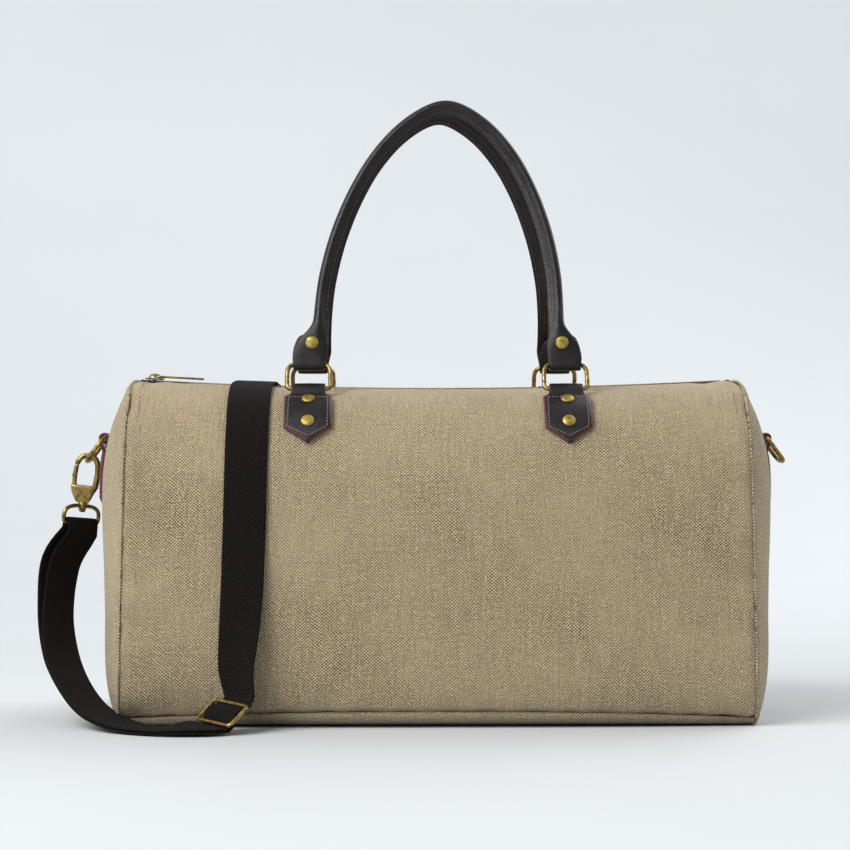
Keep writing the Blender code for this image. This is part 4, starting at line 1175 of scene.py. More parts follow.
@dataclass
class CanvasBody:
    """The sewn canvas shell, which slumps a little inside the CAD's outline."""

    shape: BagShape
    palette: Palette
    columns: int = 150
    rows: int = 84
    slump: float = 0.0016
    welt: float = 0.0007
    pucker: float = 0.0007

    def flow(self, side: Side) -> Vector:
        """Where in the noise a long face's slump is read."""
        return Vector((side.value * 11.0, 5.0, 1.0))

    def sag(self, place: Vector, flow: Vector) -> float:
        """How far the cloth has slumped in at a place: slow waves and a few soft creases."""
        slow = noise.noise(place * 9.0 + Vector((3.1, 0.0, 7.7)))
        medium = noise.noise(Vector((place.x * 30.0, place.y * 14.0, place.z * 22.0)) + flow)
        return self.slump * (0.55 + 0.35 * slow + 0.28 * medium)

    def edge_depth(self, distance: float) -> float:
        """Inward depth by a seam: a groove, then the turned edge standing proud."""
        groove = 0.0008 * bell(distance, 0.0016)
        ridge = self.welt * bell(distance - 0.0062, 0.0032)
        return groove - ridge

    def grid(
        self, name: str, rows: Sequence[Sequence[Vector]], uvs: Sequence[Sequence[tuple]],
        seams: Sequence[Sequence[float]], node: str,
    ) -> bpy.types.Object:
        """Builds a panel from rows of points.

        Args:
            name: The object's name.
            rows: Points, row by row.
            uvs: Metres along and across the cloth for each point.
            seams: The painted seam shade for each point: how far the colour is darkened there, for
                the shade in a seam's groove.
            node: The frame's node that it stands for.

        Returns:
            The panel.
        """
        inside = Z_AXIS * self.shape.widest
        faces = quads(len(rows), len(rows[0]))
        made = from_points(name, [p for row in rows for p in row], faces)
        middle = made.data.polygons[len(faces) // 2]
        if middle.normal.dot(middle.center - inside) < 0:
            made.data.flip_normals()
        flat = [uv for row in uvs for uv in row]
        return self.finish(made, flat, [s for row in seams for s in row], node)

    def finish(
        self, made: bpy.types.Object, uvs: Sequence[tuple[float, float]],
        seams: Sequence[float], node: str,
    ) -> bpy.types.Object:
        """Gives a sheet its UV map, painted seam shade mask, wall, canvas and place in the frame.

        Args:
            made: The sheet, facing out.
            uvs: Metres along and across the cloth for each vertex.
            seams: The painted seam shade for each vertex.
            node: The frame's node that it stands for.

        Returns:
            The panel.
        """
        lay_uv(made, uvs)
        mask = made.data.attributes.new("seam", "FLOAT", "POINT")
        mask.data.foreach_set("value", seams)
        thicken(made, self.shape.wall)
        return dress(made, [self.palette["canvas"]], "bag", node)

    def side_depth(self, side: Side, place: Vector, to_base: float, to_mouth: float) -> float:
        """How far a long face lies under its outer surface: slump, seams, ripples and tucks.

        Args:
            side: The face.
            place: The place on the outer surface.
            to_base: The way over the cloth to the base seam.
            to_mouth: The way over the cloth to the mouth.

        Returns:
            The depth, under 0 where the cloth stands proud.
        """
        x, _, z = place
        to_end = self.shape.half_length - abs(x)
        depth = self.sag(place, self.flow(side))
        depth *= min(1.0, 0.35 + to_mouth / 0.02) * min(1.0, 0.1 + to_end / 0.03)
        depth += self.edge_depth(to_end) + 0.15 * self.edge_depth(to_base)
        ripple = math.sin(x * 210.0 + 3.0 * noise.noise(Vector((x * 20, 0, side.value))))
        depth += 0.0004 * ripple * bell(to_base, 0.016)
        ripple = math.sin(z * 190.0 + 3.0 * noise.noise(Vector((0, z * 24, side.value))))
        depth += self.pucker * ripple * bell(to_end, 0.020)
        corner = bell(to_end, 0.032) * bell(z - self.shape.height, 0.030)
        return depth + 0.0016 * corner * (1 + 0.6 * math.sin(230.0 * (x + z)))

    def side_panel(self, side: Side) -> bpy.types.Object:
        """Builds the front or the back panel."""
        shape = self.shape
        half = shape.half_length
        xs = [half * (2 * i / self.columns - 1) for i in range(self.columns + 1)]
        xs = [x + 0.5 * half * 0.012 * math.sin(math.pi * x / half) for x in xs]
        rows, uvs, seams = [], [], []
        for x in xs:
            profile = shape.side_profile(x, self.rows)
            lengths = running_lengths(profile)
            column, marks, shades = [], [], []
            for i, (y, z) in enumerate(profile):
                place = Vector((x, side.value * y, z))
                to_end, to_mouth = half - abs(x), lengths[-1] - lengths[i]
                depth = self.side_depth(side, place, lengths[i], to_mouth)
                column.append(shape.leant(place - side_normal(profile, i, side) * depth))
                marks.append((x, lengths[i]))
                # Painted seam shade: strongest along the base seam, fainter beside the end seams
                # and under the mouth.
                near_end, near_mouth = 0.24 * bell(to_end, 0.0010), 0.24 * bell(to_mouth, 0.0007)
                shades.append(max(near_end, near_mouth, bell(lengths[i], 0.0011)))
            rows.append(column)
            uvs.append(marks)
            seams.append(shades)
        made = self.grid("canvas_" + side.word, rows, uvs, seams, side.word + "_panel")
        return made

    def base(self) -> bpy.types.Object:
        """Builds the base panel, flat on the floor and turned up at its seams."""
        shape = self.shape
        half = shape.half_length
        rows, uvs, seams = [], [], []
        for i in range(81):
            x = half * (2 * i / 80 - 1)
            profile = shape.base_profile(x)
            rows.append([shape.leant(Vector((x, y, z))) for y, z in profile])
            reach = running_lengths(profile)
            uvs.append([(x, r - reach[-1] / 2) for r in reach])
            top = shape.seam_height(x)
            # Painted shade along the base seam's groove.
            seams.append([bell(top - z, 0.0009) for _, z in profile])
        made = self.grid("canvas_base", rows, uvs, seams, "base_panel")
        return made

    def end(self, hand: Hand) -> bpy.types.Object:
        """Builds an end panel: a pillow that puckers where it is gathered into its seam."""
        shape = self.shape
        up = shape.side_profile(shape.half_length, 56)
        base = shape.base_profile(shape.half_length)[3:-3:2]
        loop = base + up + [(0.0, shape.mouth(shape.half_length))]
        loop += [(-y, z) for y, z in reversed(up)]
        count = len(loop)
        flow = Vector((hand.value * 4.0, 9.0, 2.0))
        shares = [1.0, 0.992, 0.98, 0.96, 0.935] + [0.9 - 0.045 * i for i in range(20)]
        points, uvs, marks = [], [], []
        for share in shares:
            for i, (y, z) in enumerate(loop):
                height = shape.widest + (z - shape.widest) * share
                rim = math.hypot(y, z - shape.widest) * (1 - share)
                ripple = math.sin(2 * math.pi * i * 34 / count + 2.0 * math.sin(i * 0.9))
                depth = 0.0006 * ripple * bell(rim, 0.020) * min(1.0, rim / 0.003)
                depth += 0.8 * self.edge_depth(rim + 0.0005) if z > 0.002 else 0.0
                place = Vector((hand.value * shape.half_length, y * share, height))
                depth += self.sag(place, flow) * min(1.0, rim / 0.01)
                x = shape.end_x(share, height) - max(depth, -0.0006)
                lean = shape.leant(Vector((hand.value * shape.half_length, y, height))).x
                x += (abs(lean) - shape.half_length) * (share**3 if height > shape.widest else 1.0)
                points.append(Vector((hand.value * x, y * share, height)))
                uvs.append((y * share, height))
                # Painted shade in the end panel's seam groove, along its rim.
                marks.append(0.2 * bell(rim, 0.0014))
        pole = Vector((hand.value * (shape.end_x(0.0, shape.widest) - 0.0010), 0, shape.widest))
        points.append(pole)
        uvs.append((0.0, shape.widest))
        marks.append(0.0)
        faces = quads(len(shares), count, closed=True)
        last = (len(shares) - 1) * count
        faces += [(last + i, last + (i + 1) % count, len(points) - 1) for i in range(count)]
        made = from_points("canvas_end_" + hand.word, points, faces)
        if made.data.polygons[0].normal.x * hand.value < 0:
            made.data.flip_normals()
        self.finish(made, uvs, marks, "end_panel_" + hand.word)
        across = 2 * shape.half_depth(shape.half_length) + shape.bulge
        return made

    def topstitch(self) -> bpy.types.Object:
        """Sews the turned edges beside the end seams."""
        shape = self.shape
        sewn = Stitches("canvas_stitches", self.palette["canvas_thread"], 0.00028)
        for side in Side:
            for hand in Hand:
                x = hand.value * (shape.half_length - 0.0100)
                profile = shape.side_profile(x, 90)[2:-1]
                row = []
                for i, (y, z) in enumerate(profile):
                    normal = side_normal(profile, i, side)
                    point = Vector((x, side.value * y, z))
                    depth = self.sag(point, self.flow(side)) - 0.0002
                    row.append((point - normal * depth, normal))
                sewn.row(row, 0.0034)
        return sewn.build("bag", "canvas")

    def build(self) -> None:
        """Builds the four kinds of panel and their stitching."""
        for side in Side:
            self.side_panel(side)
        self.base()
        for hand in Hand:
            self.end(hand)
        self.topstitch()


# ---------------------------------------------------------------- lining and zip


@dataclass
class LiningBag:
    """The lining: a soft inner bag that hangs loose inside the canvas."""

    shape: BagShape
    palette: Palette
    inset: float = 0.0075
    wall: float = 0.0006
    both_ends: float = 0.20
    columns: int = 60

    # how far the loops that close an end are drawn in, from its middle out
    END_SHARES = (0.04, 0.35, 0.7)

    def loop(self, half: float, x: float) -> list[Vector]:
        """Points round the lining at x, from the front of the mouth down under and up the back."""
        shape = self.shape
        profile = shape.side_profile(half, 26)
        top = profile[-1][1]
        front = []
        for y, z in profile:
            rise = (z - shape.widest) / (top - shape.widest) if z > shape.widest else 0.0
            drawn = self.inset * (1 - 0.55 * max(0.0, rise) ** 8)
            front.append((y - drawn, z - 0.55 * self.inset * rise))
        front[0] = (front[0][0] - 0.004, 0.0075)
        ends = [Vector((x, -y, z)) for y, z in reversed(front)]
        base = [Vector((x, front[0][0] * (i / 7 - 1), 0.0072)) for i in range(1, 14)]
        return ends + base + [Vector((x, y, z)) for y, z in front]

    def narrowed(self, x: float, share: float) -> list[Vector]:
        """The end's loop at x, drawn in to a share of its size."""
        level = self.shape.widest
        loop = self.loop(self.shape.half_length, x)
        return [Vector((p.x, p.y * share, level + (p.z - level) * share)) for p in loop]

    def wrinkled(self, point: Vector) -> Vector:
        """The point drawn a little towards the middle of the bag, as slack cloth hangs."""
        pull = 0.0022 * (0.5 + noise.noise(point * 16.0 + Vector((2.0, 8.0, 5.0))))
        centre = Vector((point.x, 0, self.shape.widest))
        share = clamp((point.z - 0.014) / 0.02)
        return point + (centre - point).normalized() * (pull * share)

    def build(self) -> None:
        """Builds the inner bag with its two ends."""
        half = self.shape.half_length
        reach = half - self.inset
        rows = [self.narrowed(-reach, share) for share in self.END_SHARES]
        for i in range(self.columns + 1):
            x = reach * (2 * i / self.columns - 1)
            rows.append([self.wrinkled(p) for p in self.loop(x, x)])
        rows += [self.narrowed(reach, share) for share in reversed(self.END_SHARES)]
        faces = quads(len(rows), len(rows[0]))
        made = from_points("lining_cloth", [p for row in rows for p in row], faces)
        low = min(made.data.polygons, key=lambda face: face.center.z)
        if low.normal.z > 0:
            made.data.flip_normals()
        thicken(made, self.wall)
        dress(made, [self.palette["lining"]], "bag", "lining")
        flat = (2 * reach + self.both_ends, running_lengths(self.loop(half, 0.0))[-1])


@dataclass
class Zipper:
    """The zip: cast teeth, stops, slider and pull."""

    shape: BagShape
    palette: Palette
    pitch: float = 0.0029
    inner: float = 0.00025
    width: float = 0.0034
    top: float = 0.0008
    depth: float = 0.0022

    def bend(self, obj: bpy.types.Object) -> None:
        """Lifts a straight piece onto the mouth line."""
        for vertex in obj.data.vertices:
            vertex.co.z += self.shape.lift(vertex.co.x)

    def teeth(self, side: Side) -> bpy.types.Object:
        """Builds one row of teeth: a bevelled block, repeated along the tape."""
        half = self.shape.zip_half - 0.0042
        count = int(2 * half / self.pitch)
        offset = 0.5 * self.pitch if side is Side.BACK else 0.0
        centre = self.shape.height + self.top - self.depth / 2
        reach = self.inner + self.width / 2 - 0.0003
        start = (-half + offset, side.value * reach, centre)
        made = block(start, (self.pitch * 0.46, self.width, self.depth))
        made.name = "teeth_" + side.word
        ease_edges(made, 0.00028, 1)
        run = made.modifiers.new("run", "ARRAY")
        run.use_relative_offset = False
        run.use_constant_offset = True
        run.constant_offset_displace = (self.pitch, 0, 0)
        run.count = count
        apply_modifiers(made)
        settle(made)
        self.bend(made)
        shade(made, 50)
        brass = [self.palette["brass"]]
        return dress(made, brass, "bag", "zip_teeth_" + side.word)

    def tilted(self, parts: Sequence[bpy.types.Object], name: str, x: float, node: str) -> None:
        """Joins parts built level, turns them onto the mouth's slope at x and dresses them.

        Args:
            parts: The parts.
            name: The piece's name.
            x: Where along the mouth it sits.
            node: The frame's node that it stands for, and the body of the same name.
        """
        made = settle(join(parts, name))
        pivot = Vector((x, 0, self.shape.mouth(x)))
        lean = Matrix.Rotation(-math.asin(x / self.shape.radius), 4, "Y")
        made.data.transform(Matrix.Translation(pivot) @ lean @ Matrix.Translation(-pivot))
        shade(made, 45)
        dress(made, [self.palette["brass"]], node, node)

    def slider(self) -> None:
        """Builds the slider: a waisted shell over the teeth, its post and its bail."""
        low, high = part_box("zip_slider")
        centre = (low + high) / 2
        level = self.shape.mouth(centre.x)
        length, width = (high.x - low.x), (high.y - low.y)
        parts = []
        upper = (level + self.top + 0.0010, 0.0013)
        lower = (level + self.top - self.depth - 0.0010, 0.0012)
        for z, thick in (upper, lower):
            plate = block((centre.x, 0, z), (length, width, thick), cuts=3)
            for vertex in plate.data.vertices:
                along = vertex.co.x / (length / 2)
                vertex.co.y *= 0.78 + 0.22 * (0.5 - 0.5 * along) if along > -0.9 else 0.94
            ease_edges(plate, 0.00045, 3)
            parts.append(apply_modifiers(plate))
        deselect()
        bpy.ops.mesh.primitive_cylinder_add(
            vertices=20, radius=0.0008, depth=self.depth + 0.002,
            location=(centre.x, 0, level + self.top - self.depth / 2),
        )
        parts.append(bpy.context.view_layer.objects.active)
        top = level + self.top + 0.0015
        bail = [
            (-0.0045, -0.0004), (-0.0043, 0.0012), (-0.0032, 0.0023), (-0.0015, 0.0028),
            (0.0015, 0.0028), (0.0032, 0.0023), (0.0043, 0.0012), (0.0045, -0.0004),
        ]
        points = [Vector((centre.x + x, 0, top + z)) for x, z in bail]
        parts.append(wire("bail", points, 0.0008, sides=12))
        self.tilted(parts, "slider_body", centre.x, "zip_slider")

    def pull(self) -> None:
        """Builds the pull: a ring through the bail and a waisted bar."""
        low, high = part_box("zip_pull")
        x = Vector((self.slider_x(), 0, 0)).x
        level = self.shape.mouth(x) + self.top + 0.0015 + 0.45 * 0.0030
        length = (high - low).length
        ring = [Vector((x + 0.0042 + 0.0042 * c, 0.0030 * s, level)) for c, s in circle(28)]
        parts = [wire("pull_ring", ring, 0.0009, closed=True, sides=14)]
        start = x + 0.0081
        end = x + min(length, 0.0390) - 0.0006
        bar = block(((start + end) / 2, 0, level), (end - start, 0.0065, 0.0016), cuts=5)
        for vertex in bar.data.vertices:
            along = vertex.co.x / ((end - start) / 2)
            vertex.co.y *= 0.80 - 0.16 * math.cos(math.pi * (along + 1)) + 0.04 * along
        ease_edges(bar, 0.0003, 2)
        parts.append(apply_modifiers(bar))
        self.tilted(parts, "pull", x, "zip_pull")

    def slider_x(self) -> float:
        """X of the slider's middle."""
        low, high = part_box("zip_slider")
        return (low.x + high.x) / 2

    def build(self) -> None:
        """Builds the teeth, the slider and the pull, and dresses what stays from the frame."""
        for side in Side:
            self.teeth(side)
            paint_node("zip_tape_" + side.word, self.palette["tape"])
        for hand in Hand:
            paint_node("zip_stop_" + hand.word, self.palette["brass"])
        self.slider()
        self.pull()


def paint_node(name: str, material: bpy.types.Material) -> None:
    """Gives a node of the frame a finer material."""
    node = frame["nodes"][name]
    for slot in node.material_slots:
        slot.material = material
    if not node.material_slots:
        node.data.materials.append(material)


# ---------------------------------------------------------------- leather tabs, rivets and rings


def band(
    centre: Vector, across: Vector, outward: Vector, width: float, thick: float, crown: float = 0.0
) -> list[Vector]:
    """A flat band's section with rounded edges: 14 points, the four at each edge being its side."""
    ease = 0.33 * thick
    w, t = width / 2, thick / 2
    outline = [
        (w - ease * 2.2, t), (w - ease * 0.8, t - 0.10 * ease), (w, 0.45 * t), (w, -0.45 * t),
        (w - ease * 0.8, -t + 0.10 * ease), (w - ease * 2.2, -t), (0.0, -t),
        (ease * 2.2 - w, -t), (ease * 0.8 - w, -t + 0.10 * ease), (-w, -0.45 * t), (-w, 0.45 * t),
        (ease * 0.8 - w, t - 0.10 * ease), (ease * 2.2 - w, t), (0.0, t + crown),
    ]
    return [centre + across * a + outward * b for a, b in outline]


def edge_slot(index: int) -> int:
    """The material number of a face round a band's section: 1 on its raw edges, else 0."""
    return 1 if index in (1, 2, 3, 8, 9, 10) else 0


@dataclass
class LeatherTab:
    """A tab folded round a ring's bar, sewn round its edge, with its tip cut to a point."""

    name: str
    node: str
    line: Line
    hardware: Hardware
    palette: Palette
    width: float = 0.036
    neck: float = 0.0254
    length: float = 0.056
    point: float = 0.012
    inset: float = 0.0032

    def stations(self) -> list[tuple[float, float, float, float]]:
        """(distance, height, width, thickness) along the strip, from under the bar round it."""
        h = self.hardware
        loop = h.wire / 2 + 2 * h.gap + h.leather / 2
        under = h.gap + h.leather / 2
        body = h.gap + h.leather
        rows = [(0.0066, under, self.neck, h.leather), (0.0030, under, self.neck, h.leather)]
        for step in range(17):
            angle = math.radians(-90 - 11.25 * step)
            height = h.bar_height + loop * math.sin(angle)
            rows.append((loop * math.cos(angle), height, self.neck, h.leather))
        rows.append((0.0050, h.bar_height + 0.55 * loop, self.neck, h.leather))
        rows.append((0.0070, h.bar_height - 0.0003, self.neck + 0.0006, h.leather))
        rows.append((0.0085, body + 0.0014, self.neck + 0.002, h.leather))
        rows.append((0.0101, body + 0.0002, 0.90 * self.width, 1.9 * h.leather))
        rows.append((0.0108, body, 0.985 * self.width, 2 * h.leather))
        straight = self.length - self.point
        for i in range(12):
            rows.append((0.0120 + (straight - 0.0120) * i / 11, body, self.width, 2 * h.leather))
        for share in (0.15, 0.4, 0.7, 0.92, 1.0):
            narrow = self.width * (1 - share) + 0.0022 * share
            rows.append((straight + self.point * share, body, narrow, 2 * h.leather))
        return rows

    def build(self) -> None:
        """Builds the leather and its stitching."""
        rows = self.stations()
        centres = [self.line.place(s, h) for s, h, _, _ in rows]
        loops = []
        for i, (_, _, wide, thick) in enumerate(rows):
            outward = self.line.across.cross(direction(centres, i)).normalized()
            loops.append(band(centres[i], self.line.across, outward, wide, thick, 0.0002))
        made = shade(loft(self.name, loops, edge_slot), 50)
        both = [self.palette["leather"], self.palette["edge"]]
        dress(made, both, "bag", self.node)
        self.stitch()

    def stitch(self) -> None:
        """Sews round the edge and across the head of the tab."""
        h = self.hardware
        top = h.gap + 2 * h.leather + 0.0001
        side = self.width / 2 - self.inset
        straight = self.length - self.point
        tip = self.length - self.inset * 1.35
        head = 0.0135
        corners = [
            (head, -side), (straight, -side), (tip, 0.0), (straight, side), (head, side),
            (head, -side),
        ]
        sewn = Stitches(self.name + "_stitches", self.palette["thread"])
        for (s0, a0), (s1, a1) in zip(corners, corners[1:]):
            steps = 8
            row = []
            for i in range(steps + 1):
                t = i / steps
                s, a = s0 + (s1 - s0) * t, a0 + (a1 - a0) * t
                row.append((self.line.place(s, top, a), self.line.at(s)[2]))
            sewn.row(row, 0.0029)
        sewn.build("bag", "leather")


@dataclass
class Rivets:
    """Domed brass rivet heads, modelled once and copied."""

    palette: Palette
    radius: float = 0.005
    rise: float = 0.0023
    leather_dent: float = 0.0003

    # (inset, lift) of each ring of the dome, from its rim in
    STEPS = ((0.0007, 0.00042), (0.0010, 0.00030), (0.0011, 0.00016), (0.0010, 0.00006))

    def __post_init__(self) -> None:
        """Models the head at the origin, along +Z."""
        deselect()
        bpy.ops.mesh.primitive_cylinder_add(vertices=40, radius=self.radius, depth=self.rise * 0.45)
        head = bpy.context.view_layer.objects.active
        bpy.ops.object.mode_set(mode="EDIT")
        shape = bmesh.from_edit_mesh(head.data)
        for face in shape.faces:
            face.select_set(face.normal.z > 0.9)
        bmesh.update_edit_mesh(head.data)
        for inset, lift in self.STEPS:
            bpy.ops.mesh.inset(thickness=inset)
            bpy.ops.transform.translate(value=(0, 0, lift))
        bpy.ops.object.mode_set(mode="OBJECT")
        ease = ease_edges(head, 0.00035, 3)
        ease.limit_method = "ANGLE"
        ease.angle_limit = math.radians(35)
        apply_modifiers(head)
        for vertex in head.data.vertices:
            vertex.co.z += self.rise * 0.225
        self.pattern = head.data
        bpy.data.objects.remove(head)

    def place(self, name: str, node: str, base: Vector, outward: Vector, body: str) -> None:
        """Sets one head.

        Args:
            name: The object's name.
            node: The frame's node that it stands for.
            base: The middle of its underside.
            outward: The way it faces.
            body: The body that it rides on.
        """
        mesh = self.pattern.copy()
        turn = outward.to_track_quat("Z", "Y").to_matrix().to_4x4()
        mesh.transform(Matrix.Translation(base - outward * self.leather_dent) @ turn)
        made = shade(place_in_scene(name, mesh), 30)
        dress(made, [self.palette["rivet"]], body, node)


@dataclass
class Ring:
    """A cast wire ring with a straight bar and an arched top."""

    hardware: Hardware
    palette: Palette

    def path(self, origin: Vector, across: Vector, up: Vector) -> list[Vector]:
        """The closed centre line of the wire."""
        h = self.hardware
        half = (h.ring_width - h.wire) / 2
        tall = h.ring_height - h.wire
        corner = 0.0035
        shape = [((half - corner) * s, 0.0) for s in (-1.0, -0.5, 0.0, 0.5, 1.0)]
        for degrees in (-68, -45, -22, -4):
            a = math.radians(degrees)
            shape.append((half - corner + corner * math.cos(a), corner + corner * math.sin(a)))
        for i in range(33):
            out, rise = squircle(math.pi * i / 32, 4)
            shape.append((half * out, 0.4 * tall + 0.6 * tall * rise))
        for degrees in (184, 202, 225, 248):
            a = math.radians(degrees)
            shape.append((corner - half + corner * math.cos(a), corner + corner * math.sin(a)))
        return [origin + across * a + up * b for a, b in shape]

    def build(
        self, name: str, node: str, origin: Vector, across: Vector, up: Vector, body: str
    ) -> None:
        """Builds one ring on a body.

        Args:
            name: The object's name.
            node: The frame's node that it stands for.
            origin: The middle of its bar.
            across: Along its bar.
            up: From its bar to its top.
            body: The body that it rides on.
        """
        path = self.path(origin, across, up)
        made = shade(wire(name, path, self.hardware.wire / 2, closed=True, sides=18), 60)
        dress(made, [self.palette["brass"]], body, node)


# ---------------------------------------------------------------- handles


@dataclass
class Handle:
    """A rolled leather handle: flat ends folded round the rings, and a sewn inner seam."""

    side: Side
    shape: BagShape
    hardware: Hardware
    palette: Palette
    rivets: Rivets
    shift: float = 0.008
    height: float = 0.2017
    lean: float = math.radians(13)
    roll: float = 0.012
    thick: float = 0.0085
    paddle: float = 0.030
    fold_width: float = 0.024
    leather: float = 0.0020
    clearance: float = 0.0008
    rivet_rise: float = 0.0150
    crown: float = 0.0016

    # (share of the half spacing, share of the height) up the arch's left half
    ARCH = (
        (0.960, 0.075), (0.918, 0.140), (0.905, 0.220), (0.880, 0.330), (0.828, 0.450),
        (0.760, 0.560), (0.660, 0.680), (0.525, 0.800), (0.350, 0.905), (0.160, 0.975),
    )

    def __post_init__(self) -> None:
        """Finds the leaning plane through the rings' top bars."""
        h = self.hardware
        line = h.shoulder_line(self.shape, h.spacing / 2, self.side)
        bar = line.place(0.0, h.bar_height)
        bar.x = 0.0
        inward = Y_AXIS * -self.side.value
        self.ring_bar = bar
        self.ring_up = Z_AXIS * math.cos(h.ring_lean) + inward * math.sin(h.ring_lean)
        self.top_bar = bar + self.ring_up * (h.ring_height - h.wire)
        self.up = Z_AXIS * math.cos(self.lean) + inward * math.sin(self.lean)
        self.outward = -inward * math.cos(self.lean) + Z_AXIS * math.sin(self.lean)

    def place(self, x: float, up: float, out: float = 0.0) -> Vector:
        """A point in the handle's plane."""
        return self.top_bar + X_AXIS * x + self.up * up + self.outward * out

    def arch(self) -> list[tuple[float, float, float]]:
        """(x, up, share of the roll) along the arch."""
        half = self.hardware.spacing / 2
        peak = self.height / math.cos(self.lean)
        left = [(-half * x + self.shift * up**2, peak * up) for x, up in self.ARCH]
        right = [(2 * self.shift * up / peak - x, up) for x, up in reversed(left)]
        whole = [*left, (self.shift, peak), *right]
        rows = []
        for x, up, _ in smooth_path([(x, up, 0.0) for x, up in whole], 0.0042):
            rows.append((x, up, smooth_step((up - 0.005) / 0.036)))
        return rows

    def section(
        self, centre: Vector, across: Vector, outward: Vector, wide: float, share: float,
        inner: float, crown: float,
    ) -> list[Vector]:
        """A section that goes from a flat band to a roll with a flange on its inner side.

        Args:
            centre: The middle of the band.
            across: Over the band, in the handle's plane.
            outward: Square to the handle's plane.
            wide: The band's width.
            share: 0 on the flat end, 1 on the roll.
            inner: 1 or -1, the side of across where the flange is.
            crown: How far the band's middle stands out of its plane.

        Returns:
            The points of the section.
        """
        count = 20
        made = []
        flat_t = self.leather / 2
        radius = self.thick / 2
        for i, (c, s) in enumerate(circle(count)):
            flat_c, flat_s = squircle(2 * math.pi * i / count, 8)
            flat_c, flat_s = max(-1.0, min(1.0, flat_c)), max(-1.0, min(1.0, flat_s))
            toward = max(0.0, inner * c)
            x_roll = radius * c + inner * (toward**6 * 0.0040 - 0.0014)
            y_roll = radius * s * (1 - 0.62 * toward**2)
            x_flat, y_flat = wide / 2 * flat_c, flat_t * flat_s
            x = x_flat + (x_roll - x_flat) * share
            y = y_flat + (y_roll - y_flat) * share
            bulge = crown * max(0.0, 1 - (2 * x / wide) ** 2)
            made.append(centre + across * x + outward * y + self.outward * bulge)
        return made

    def crown_at(self, up: float) -> float:
        """How far the folded end swells out at a height over the ring."""
        return self.crown * clamp((up - 0.004) / 0.008) * clamp((0.044 - up) / 0.022)

    def fold(self, offset: float) -> list[tuple[float, float, float]]:
        """(up, out, width) of a folded end, from its tip down round the ring.

        Args:
            offset: How far the folded leather lies from the ring's middle.

        Returns:
            The stations in order.
        """
        fold = [
            (0.0240, -offset + 0.0012, 0.50 * self.paddle),
            (0.0190, -offset + 0.0009, 0.66 * self.paddle),
            (0.0140, -offset + 0.0006, 0.80 * self.paddle),
            (0.0060, -offset, 0.88 * self.paddle),
        ]
        for step in range(13):
            a = math.radians(180 + 15 * step)
            fold.append((-0.0012 + offset * math.sin(a), offset * math.cos(a), self.fold_width))
        fold.append((0.0060, offset, self.paddle - 0.003))
        return fold

    def build(self) -> None:
        """Builds the leather, its stitching and its rivets, and the two rings."""
        half = self.hardware.spacing / 2
        offset = self.hardware.wire / 2 + self.clearance + self.leather / 2
        fold = self.fold(offset)
        rows = [(-half, up, out, wide, 0.0, True) for up, out, wide in fold]
        for x, up, share in self.arch():
            blend = clamp((up - 0.012) / 0.040)
            wide = self.paddle + (self.roll - self.paddle) * share
            rows.append((x, up, offset * (1 - blend), wide, share, False))
        rows += [(half, up, out, wide, 0.0, True) for up, out, wide in reversed(fold)]
        centres = [self.place(x, up, out) for x, up, out, *_ in rows]
        loops, seam = [], []
        inner_sign = float(-self.side.value)
        for i, (x, up, out, wide, share, folded) in enumerate(rows):
            tangent = direction(centres, i)
            if folded:
                across = self.up.cross(self.outward) * (1 if i < len(rows) / 2 else -1)
            else:
                across = tangent.cross(self.outward).normalized()
            outward = across.cross(tangent).normalized()
            crown = 0.0 if folded else self.crown_at(up)
            loops.append(self.section(centres[i], across, outward, wide, share, inner_sign, crown))
            if not folded and share > 0.97:
                spot = centres[i] + across * (inner_sign * 0.0040)
                seam.append((spot + self.outward * 0.00125, self.outward))
        body = "handle_" + self.side.word
        made = loft(body + "_leather", loops)
        finer = made.modifiers.new("finer", "SUBSURF")
        finer.levels = finer.render_levels = 1
        shade(apply_modifiers(made), 60)
        dress(made, [self.palette["leather"]], body, body)
        sewn = Stitches(body + "_stitches", self.palette["dark_thread"], 0.0003)
        sewn.row(seam, 0.0036)
        sewn.row([(p - self.outward * 0.0025, -n) for p, n in seam], 0.0036)
        sewn.build(body, "leather")
        self.fit(offset)

    def fit(self, offset: float) -> None:
        """Sets the rivets through the folded ends, and the rings under them."""
        h = self.hardware
        body = "handle_" + self.side.word
        ring = Ring(h, self.palette)
        out = offset + self.leather / 2 + self.crown_at(self.rivet_rise) - 0.0002
        for hand in Hand:
            x = hand.value * h.spacing / 2
            place = self.side.word + "_" + hand.word
            face = self.place(0.976 * x, self.rivet_rise, out)
            node = "handle_rivet_" + place
            self.rivets.place("rivet_handle_" + place, node, face, self.outward, body)
            name, node = "ring_" + place, "handle_ring_" + place
            ring.build(name, node, self.ring_bar + X_AXIS * x, X_AXIS, self.ring_up, name)


# ---------------------------------------------------------------- shoulder strap


